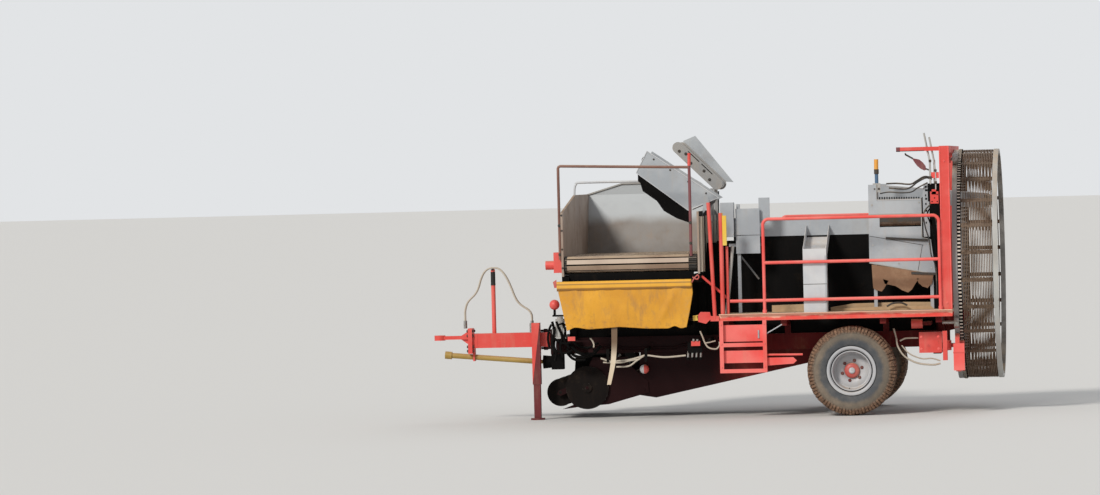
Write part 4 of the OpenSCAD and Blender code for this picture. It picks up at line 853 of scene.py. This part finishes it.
def make_elevator_trim():
    """Black sheet as painted shade under the near elevator, white tubes along its side plate's edges as painted
    highlights, and slots of the far one
    """
    near = Shape("filler_trim", "black", "white", "dark_steel")
    # Black sheet: painted shade under the near elevator
    near.plate([(-0.84, 2.915), (-0.845, 2.79), (-0.815, 2.68), (-0.65, 2.56), (-0.57, 2.44), (-0.42, 2.35),
        (-0.262, 2.29), (-0.258, 2.455)], -0.9045, -0.9015)
    # White tubes along the side plate's edges: painted highlights
    for a, b in zip(FILLER_PLATE, FILLER_PLATE[1:] + FILLER_PLATE[:1]):
        near.line(-0.921, 0.006, 1, 8, (a[0], a[1]), (b[0], b[1]))
    (ax, az), (bx, bz) = FILLER_PLATE[1:3]
    near.bolts(-0.9205, 0.014, 2, *((ax + share * (bx - ax) - 0.022, az + share * (bz - az) - 0.03)
        for share in (0.12, 0.35, 0.6, 0.85)))
    near.done("filler", "grey_sheet")
    far = Shape("elevator_far_trim", "black", "dark_steel")
    foot, along, up = Vector((-0.03, 0, 2.74)), Vector((-0.7133, 0, 0.7009)), Vector((0.7009, 0, 0.7133))
    for start, end in ((0.12, 0.3), (0.34, 0.52)):
        corners = [foot + along * a + up * b for a, b in ((start, 0.046), (end, 0.046), (end, 0.056),
            (start, 0.056))]
        far.plate([(c.x, c.z) for c in corners], 0.1965, 0.1995)
    for a, b in ((0.1, -0.02), (0.22, 0.01), (0.4, -0.03), (0.52, 0.01), (0.6, -0.02)):
        spot = foot + along * a + up * b
        far.bolts(0.1995, 0.022, 1, (spot.x, spot.z))
    far.done("chassis", "grey_sheet")


def make_digger_trim():
    """Black sheets inside the digging end: painted shade"""
    trim = Shape("digger_trim", "black")
    for y in (-0.56, 0.555):
        trim.plate([(-1.72, 0.5), (-1.7, 0.74), (-1.12, 0.755), (-1.05, 0.6)], y, y + 0.005)
    trim.done("digger", "dark_paint")


def make_inner_sheets():
    """Black sheets as painted shade inside the frame, closing its sides behind the platforms, beside the bunker's
    legs and behind the separator
    """
    sheets = Shape("inner_sheets", "black")
    for side in (-1, 1):
        y0, y1 = sorted((side * 0.74, side * 0.7455))
        sheets.plate([(-0.275, 0.955), (-0.275, 1.6), (-0.115, 1.6), (-0.085, 2.05), (0.232, 2.05), (0.232, 0.955)],
            y0, y1)
        sheets.box((0.232, y0, 0.955), (2.6, y1, 1.2205))
        sheets.box((-1.735, y0, 0.955), (-0.275, y1, 1.08))
    sheets.box((-1.738, 0.6, 0.962), (-0.115, 0.606, 1.598))
    sheets.box((1.93, -1.08, 2.192), (2.6, -1.074, 2.262))
    sheets.plate([(2.478, 2.05), (2.478, 2.52), (2.6, 2.62), (2.711, 2.62), (2.711, 1.222), (2.6, 1.222),
        (2.6, 1.8)], -1.08, -1.074)
    sheets.done("chassis", "dark_paint")


def make_separator_trim():
    """Seams, folded rims, fingers, hoses and brackets on the near panel of the separator"""
    trim = Shape("separator_trim", "grey", "dark_steel", "black", "pale_grey", "flap", "white", "hose", "combs")
    y = -1.0955
    # Folded rims: along the upper panel, the bin and the trapezoid below
    for path in ([(1.957, 2.6905), (1.957, 2.515), (2.477, 2.515), (2.477, 2.06), (2.581, 2.03)],
            [(1.854, 1.773), (2.626, 1.627)]):
        trim.tube([(x, y - 0.004, z) for x, z in path], 0.0065, 3, 6)
    trim.line(y, 0.003, 1, 6, (1.861, 2.089), (2.491, 1.969))
    trim.line(y, 0.003, 1, 6, (2.479, 1.969), (2.422, 1.672))
    trim.box((1.861, y - 0.0035, 2.336), (2.479, y, 2.344), 3)
    # Dark bars bolted across the panel
    for a, b in (((2.054, 2.06), (2.543, 2.024)), ((2.342, 1.645), (2.626, 1.63))):
        slope = [(a[0], a[1] - 0.014), (b[0], b[1] - 0.014), (b[0], b[1] + 0.014), (a[0], a[1] + 0.014)]
        trim.plate(slope, y - 0.016, y - 0.0005, 1)
    # Row of rubber teeth along the top edge
    for i in range(17):
        x = 1.985 + 0.0286 * i
        trim.box((x, y - 0.01, 2.516 + 0.002 * (i % 2)), (x + 0.016, y + 0.004, 2.545 - 0.0006 * i), 2)
    trim.box((1.965, y - 0.006, 2.503), (2.476, y + 0.006, 2.517), 5)
    # Comb of the finger web in the opening
    for i in range(40):
        x = 1.992 + 0.0121 * i
        trim.box((x, -1.088, 2.205), (x + 0.0045, -1.084, 2.25), 7)
    trim.bolts(y + 0.0005, 0.013, 3, (1.9, 2.45), (1.9, 1.98), (2.45, 2.47), (2.55, 1.98), (2.58, 1.7), (2.2, 1.76))
    # Upright plate at the panel's end, with a dark gap before it and slots in it
    trim.plate([(2.498, 2.065), (2.496, 2.56), (2.51, 2.69), (2.572, 2.69), (2.572, 2.065)], -1.1, -1.094)
    for z, w in ((2.64, 0.02), (2.6, 0.03), (2.54, 0.012), (2.5, 0.022), (2.44, 0.014), (2.36, 0.02),
            (2.22, 0.012)):
        trim.box((2.525, -1.1035, z), (2.525 + w, -1.099, z + 0.022), 2)
    # Rubber that rounds off the flaps' lower edges
    for outline in (
        [(1.886, 1.62), (1.893, 1.476), (1.93, 1.452), (1.99, 1.436), (2.02, 1.47), (2.045, 1.512), (2.075, 1.56)],
        [(2.01, 1.58), (2.028, 1.524), (2.09, 1.512), (2.16, 1.494), (2.23, 1.446), (2.3, 1.418), (2.345, 1.452),
         (2.372, 1.496), (2.43, 1.58)],
        [(2.4, 1.6), (2.424, 1.528), (2.47, 1.484), (2.53, 1.466), (2.58, 1.52), (2.598, 1.61)],
    ):
        trim.plate(outline, y - 0.008, y, 4)
    # Hoses on the panels' top edge
    trim.hoses(-1.14,
        (6, 0.01, (2.076, 2.698), (2.206, 2.699), (2.355, 2.686), (2.43, 2.721), (2.518, 2.769), (2.6, 2.76)),
        (6, 0.01, (2.106, 2.648), (2.292, 2.631), (2.367, 2.654), (2.442, 2.709), (2.543, 2.756), (2.61, 2.735)),
        (6, 0.008, (2.0, 2.585), (2.11, 2.6), (2.25, 2.588), (2.37, 2.596), (2.44, 2.64), (2.56, 2.7)))
    trim.done("chassis", "grey_sheet")


def make_lamp_post():
    """Lamp post: orange head, dark collar and blue foot"""
    post = Shape("lamp_post_trim", "orange", "dark_steel", "blue", "pale_grey")
    x, y = 1.96, -1.065
    post.line(y, 0.025, 0, 20, (x - 0.002, 2.868), (x, 2.988))
    post.line(y, 0.028, 1, 20, (x, 2.815), (x, 2.87))
    post.line(y, 0.021, 2, 20, (x, 2.704), (x, 2.817))
    post.line(y, 0.016, 3, 16, (x, 2.5), (x, 2.706))
    post.box((x - 0.045, y - 0.028, 2.6), (x + 0.045, y - 0.018, 2.706), 3)
    post.bolts(y - 0.028, 0.016, 1, (x - 0.026, 2.64), (x + 0.026, 2.64))
    post.done("chassis", "yellow_paint", "lamp_post")


def make_mast_trim():
    """Weld-on strips, bolts, hoses, levers and valves of the mast"""
    trim = Shape("mast_trim", "coral", "dark_steel", "hose", "red", "maroon", "pale_grey", "black")
    y = -1.4505
    trim.box((2.7135, y - 0.004, 1.222), (2.727, y, 3.12))
    trim.box((2.814, y - 0.004, 1.222), (2.8275, y, 3.12))
    trim.bolts(y, 0.018, 0, (2.77, 1.3), (2.77, 2.95))
    # Shadow gap and folded end of the arm
    trim.box((2.2155, -1.4265, 3.066), (2.26, -1.4245, 3.1195), 4)
    trim.box((2.2155, -1.4275, 3.0695), (2.54, -1.4245, 3.076), 6)
    # Lever plate on its strut under the arm
    trim.line(-1.36, 0.01, 1, 8, (2.319, 3.05), (2.319, 3.034), (2.405, 2.984))
    trim.plate([(2.392, 2.992), (2.425, 2.984), (2.479, 2.972), (2.523, 2.934), (2.552, 2.894), (2.556, 2.85),
        (2.536, 2.842), (2.495, 2.862), (2.455, 2.896), (2.425, 2.937)], -1.368, -1.352, 4)
    trim.line(-1.36, 0.009, 1, 8, (2.545, 2.865), (2.61, 2.84))
    trim.box((2.612, -1.392, 2.75), (2.705, -1.3805, 2.82))
    for x, z, w, h in ((2.599, 2.455, 0.096, 0.14), (2.618, 2.56, 0.05, 0.06)):
        trim.box((x, -1.412, z), (x + w, -1.381, z + h), 3)
    trim.plate([(2.588, 2.336), (2.6, 2.455), (2.711, 2.455), (2.711, 2.332)], -1.4, -1.385, 6)
    for x, z in ((2.62, 2.478), (2.68, 2.478), (2.62, 2.572), (2.68, 2.56), (2.65, 2.52)):
        trim.tube([(x, -1.411, z), (x, -1.4135, z)], 0.008, 6, 10)
    # Lever rods
    for route in ([(2.548, 3.255), (2.574, 3.065), (2.606, 2.953), (2.606, 2.681)],
            [(2.606, 3.215), (2.633, 3.051), (2.665, 2.84), (2.666, 2.618)]):
        trim.tube(smooth_route([(x, -1.392, z) for x, z in route], 5), 0.008, 5, 10)
    for x, z in ((2.606, 2.953), (2.665, 2.84), (2.606, 2.76), (2.666, 2.7)):
        trim.line(-1.404, 0.014, 1, 12, (x - 0.016, z), (x + 0.016, z))
    # Hoses from the valves down the mast
    trim.hoses(-1.385,
        (2, 0.0085, (2.6, 2.45), (2.519, 2.349), (2.528, 2.201), (2.574, 2.027), (2.594, 1.854), (2.641, 1.729),
         (2.65, 1.5), (2.645, 1.371)),
        (6, 0.0085, (2.64, 2.45), (2.562, 2.348), (2.59, 2.23), (2.625, 2.11), (2.648, 1.95), (2.66, 1.76),
         (2.668, 1.4)),
        (2, 0.0085, (2.665, 2.45), (2.65, 2.33), (2.665, 2.223), (2.685, 2.024), (2.68, 1.82), (2.688, 1.42)))
    trim.done("chassis", "red_paint")


def make_under_trim():
    """Pipes, valves, brackets and hoses on the frame, under the bunker and behind the wheel"""
    trim = Shape("under_trim", "pale_hose", "black", "red", "yellow", "steel", "coral", "white", "dark_red")
    # Pale pipes and hoses along the frame
    trim.hoses(-1.3,
        (0, 0.011, (-1.32, 0.729), (-1.2, 0.688), (-1.123, 0.692), (-0.974, 0.706), (-0.862, 0.733),
         (-0.777, 0.752), (-0.568, 0.726), (-0.316, 0.741)),
        (0, 0.01, (-1.137, 0.623), (-0.99, 0.631), (-0.9, 0.69), (-0.8, 0.754)),
        (0, 0.009, (-1.293, 0.679), (-1.094, 0.672), (-0.974, 0.694), (-0.862, 0.708)),
        (0, 0.01, (-0.141, 1.024), (-0.11, 0.95), (-0.092, 0.898), (-0.058, 0.84), (-0.01, 0.814), (0.05, 0.812),
         (0.084, 0.85), (0.086, 0.894)),
        (0, 0.008, (0.04, 0.905), (-0.03, 0.889), (-0.09, 0.88)))
    # Steel and black unions, and the red valve over them
    for x in (-0.29, -0.24, -0.19, -0.14):
        trim.line(-1.3, 0.013, 4, 10, (x, 0.716), (x + 0.006, 0.79))
        trim.line(-1.3, 0.017, 1, 10, (x, 0.69), (x, 0.718))
    trim.box((-0.244, -1.35, 0.852), (-0.14, -1.29, 0.908), 2)
    trim.line(-1.352, 0.014, 4, 10, (-0.215, 0.908), (-0.215, 0.935))
    trim.line(-1.352, 0.014, 4, 10, (-0.17, 0.908), (-0.17, 0.93))
    # Red and yellow bracket beside the bunker's leg
    trim.plate([(-0.212, 1.15), (-0.212, 1.21), (-0.15, 1.215), (-0.15, 1.15)], -1.4, -1.385, 3)
    trim.plate([(-0.15, 1.136), (-0.161, 1.2), (-0.12, 1.25), (-0.01, 1.246), (0.004, 1.17), (-0.06, 1.11)], -1.4,
        -1.38, 2)
    trim.box((-0.28, -1.385, 1.15), (-0.1, -0.742, 1.18), 7)
    # Arms that carry all these from the frame
    for x, z in ((-1.25, 0.8), (-0.8, 0.8), (-0.215, 0.86), (-0.05, 0.9)):
        trim.box((x, -1.31, z), (x + 0.03, -0.785, z + 0.03), 1)
    for x in (-1.25, -0.8):
        trim.box((x, -1.32, 0.68), (x + 0.03, -1.305, 0.83), 1)
    trim.box((-0.29, -1.318, 0.77), (-0.12, -1.304, 0.89), 1)
    # Red piece and gearbox cover behind the drawbar
    trim.box((-1.704, -1.31, 0.94), (-1.617, -1.28, 0.989), 2)
    trim.box((-1.69, -1.29, 0.955), (-1.64, -0.785, 0.975), 1)
    trim.box((-1.617, -1.3, 0.925), (-1.45, -1.285, 0.945), 7)
    trim.hoses(-1.29,
        (0, 0.01, (-1.44, 0.968), (-1.412, 0.93), (-1.398, 0.89), (-1.402, 0.858)))
    trim.box((-1.465, -1.3, 0.8), (-1.41, -1.275, 0.835), 7)
    # Dark hoses that sag between the gearbox and the digging end
    trim.hoses(-0.96,
        (1, 0.02, (-1.74, 0.9), (-1.64, 0.8), (-1.54, 0.768), (-1.43, 0.8), (-1.35, 0.86)),
        (1, 0.018, (-1.76, 0.84), (-1.67, 0.755), (-1.56, 0.735), (-1.46, 0.76), (-1.38, 0.83)),
        (1, 0.016, (-1.75, 0.78), (-1.69, 0.72), (-1.62, 0.7), (-1.54, 0.705)),
        (1, 0.014, (-1.72, 0.95), (-1.62, 0.87), (-1.5, 0.845), (-1.38, 0.9)))
    # Dark unions and hoses beside the drawbar's pivot
    trim.hoses(-1.01,
        (1, 0.014, (-1.93, 1.13), (-1.96, 1.06), (-1.975, 0.96), (-1.96, 0.86)),
        (1, 0.012, (-1.9, 1.08), (-1.905, 0.98), (-1.925, 0.88), (-1.9, 0.79)),
        (1, 0.011, (-1.86, 1.12), (-1.8, 1.135), (-1.74, 1.11), (-1.7, 1.06)),
        (1, 0.016, (-1.92, 1.165), (-1.895, 1.05), (-1.925, 0.93), (-1.88, 0.8), (-1.895, 0.7)),
        (1, 0.015, (-1.87, 1.165), (-1.84, 1.08), (-1.805, 0.98), (-1.83, 0.86), (-1.8, 0.74)),
        (1, 0.014, (-1.8, 1.15), (-1.765, 1.06), (-1.78, 0.95), (-1.725, 0.85)),
        (1, 0.013, (-1.925, 0.99), (-1.85, 0.93), (-1.77, 0.9), (-1.7, 0.915)),
        (1, 0.013, (-1.915, 0.85), (-1.84, 0.8), (-1.75, 0.79), (-1.69, 0.82)),
        (6, 0.006, (-1.88, 0.93), (-1.885, 0.86), (-1.868, 0.8)))
    # Red and dark boxes of the ring's drive behind the wheel
    trim.box((2.7, -1.33, 0.622), (2.752, -1.24, 0.965), 2)
    trim.box((2.822, -1.3, 0.5), (2.95, -1.235, 0.815), 5)
    trim.box((2.818, -1.302, 0.7), (2.954, -1.233, 0.716), 2)
    trim.bolts(-1.3195, 0.018, 5, (2.45, 0.76), (2.45, 0.9), (2.65, 0.76), (2.65, 0.9))
    # Cable loop behind the wheel
    trim.hoses(-1.12,
        (0, 0.011, (2.12, 1.0), (2.15, 0.88), (2.167, 0.785), (2.243, 0.67), (2.388, 0.59), (2.568, 0.565),
         (2.66, 0.58)),
        (0, 0.01, (2.191, 0.852), (2.25, 0.88), (2.33, 0.884), (2.406, 0.884)),
        (0, 0.008, (2.21, 0.8), (2.3, 0.7), (2.44, 0.64), (2.56, 0.64), (2.66, 0.61)))
    trim.line(-1.1, 0.056, 2, 24, (2.33, 1.05), (2.46, 1.05))
    trim.box((2.44, -1.12, 1.03), (2.56, -0.785, 1.07), 7)
    trim.done("chassis", "dark_paint")


def make_platform_trim():
    """Tan boards and soil-worn planks on the platform, its seams, and fittings of the ladder"""
    trim = Shape("platform_trim", "boards", "coral", "dark_steel", "black", "grey")
    # Loose planks along the inner edge, the nearer one shorter
    trim.plate([(0.69, 1.2205), (0.69, 1.3), (1.09, 1.306), (1.09, 1.2205)], -1.01, -0.985)
    trim.plate([(1.385, 1.2205), (1.38, 1.262), (1.64, 1.3), (2.24, 1.306), (2.69, 1.296), (2.69, 1.2205)], -1.01,
        -0.985)
    trim.plate([(1.4, 1.2205), (1.45, 1.246), (2.1, 1.262), (2.56, 1.258), (2.6, 1.2205)], -1.09, -1.06)
    trim.hoses(-1.16,
        (2, 0.011, (2.05, 1.262), (2.12, 1.296), (2.22, 1.3), (2.29, 1.268)))
    # Seams between the planks of the floor
    for x in (0.42, 0.98, 1.54, 2.1):
        trim.box((x, -1.44, 1.2195), (x + 0.004, -0.985, 1.2208), 3)
    # Seam and lip of the chute
    trim.box((1.0975, -1.4415, 1.545), (1.3705, -1.4398, 1.551), 2)
    trim.box((1.352, -1.4415, 1.2205), (1.3705, -1.4398, 1.88), 4)
    # Thin rod and bolts of the ladder
    trim.line(-1.47, 0.007, 4, 8, (0.655, 0.985), (0.72, 1.02), (0.838, 1.087))
    trim.bolts(-1.4995, 0.016, 1, *((x, z) for x in (0.125, 0.632) for z in (1.1, 0.6, 0.87)))
    for z in (0.975, 0.93):
        trim.line(-1.4505, 0.011, 4, 10, (0.56, z), (0.56, z + 0.05))
    # Pockets that hold the handrail's posts
    for x in (0.64, 2.694):
        trim.line(-1.47, 0.0255, 1, 16, (x, 1.2205), (x, 1.262))
    trim.done("chassis", "boards")


def make_drawbar_trim():
    """Sleeve on the post, bolts of the flange and weld seams of the beam"""
    trim = Shape("drawbar_trim", "rubber", "coral", "dark_steel", "red")
    top = Vector((-2.645, DRAWBAR_Y, 1.794))
    trim.tube([top - Vector((0, 0, 0.175)), top - Vector((0, 0, 0.03))], 0.0275, 0, 20)
    trim.tube([top - Vector((0, 0, 0.19)), top - Vector((0, 0, 0.172))], 0.029, 0, 20)
    for z in (1.065, 1.01, 0.88, 0.83):
        for y in (-0.085, 0.085):
            trim.bolt((-2.95, DRAWBAR_Y + y, z), (-1, 0, 0), 0.03, 2)
            trim.bolt((-2.9, DRAWBAR_Y + y, z), (1, 0, 0), 0.026, 2)
    # Weld seams and edge of the flange on the beam
    for x in (-2.6, -2.3):
        trim.box((x, DRAWBAR_Y - 0.0665, 0.935), (x + 0.045, DRAWBAR_Y - 0.065, 0.941), 1)
    trim.box((-2.895, DRAWBAR_Y - 0.068, 0.8625), (-2.84, DRAWBAR_Y - 0.0645, 1.0335), 3)
    trim.done("drawbar", "red_paint")


for make in (make_bunker_trim, make_strap, make_elevator_trim, make_digger_trim, make_inner_sheets,
        make_separator_trim, make_lamp_post, make_mast_trim, make_under_trim, make_platform_trim,
        make_drawbar_trim):
    make()


# Light and floor; half the floor's side in metres
FLOOR = 400


def make_stage():
    floor_mesh = bpy.data.meshes.new("floor")
    floor_mesh.from_pydata([(x * FLOOR, y * FLOOR, 0) for x, y in ((-1, -1), (1, -1), (1, 1), (-1, 1))], [],
        [(0, 1, 2, 3)])
    floor = place("floor", floor_mesh)
    pale = Finish("floor", 0.9)
    pale.colour(rgb(214, 212, 208))
    floor_mesh.materials.append(pale.material)

    world = bpy.data.worlds.new("world")
    bpy.context.scene.world = world
    world.use_nodes = True
    nodes, links = world.node_tree.nodes, world.node_tree.links
    soft = nodes["Background"]
    soft.inputs["Color"].default_value = (0.93, 0.96, 1.0, 1)
    soft.inputs["Strength"].default_value = 0.5
    seen = nodes.new("ShaderNodeBackground")
    seen.inputs["Color"].default_value = rgb(226, 228, 230)
    seen.inputs["Strength"].default_value = 1.0
    path = nodes.new("ShaderNodeLightPath")
    either = nodes.new("ShaderNodeMath")
    either.operation = "MAXIMUM"
    links.new(path.outputs["Is Camera Ray"], either.inputs[0])
    links.new(path.outputs["Is Transmission Ray"], either.inputs[1])
    mix = nodes.new("ShaderNodeMixShader")
    links.new(either.outputs[0], mix.inputs["Fac"])
    links.new(soft.outputs[0], mix.inputs[1])
    links.new(seen.outputs[0], mix.inputs[2])
    links.new(mix.outputs[0], nodes["World Output"].inputs["Surface"])


def make_lamp(name, direction, strength, softness, colour):
    data = bpy.data.lights.new(name, "SUN")
    data.energy = strength
    data.angle = radians(softness)
    data.color = colour
    place(name, data).rotation_euler = Vector(direction).to_track_quat("-Z", "Y").to_euler()


make_stage()
make_lamp("key", (0.45, 0.8, -0.62), 2.3, 12, (1.0, 0.97, 0.92))
make_lamp("rim", (-0.3, -0.7, -0.6), 0.5, 30, (0.95, 0.97, 1.0))
bpy.context.scene.view_settings.view_transform = "Standard"
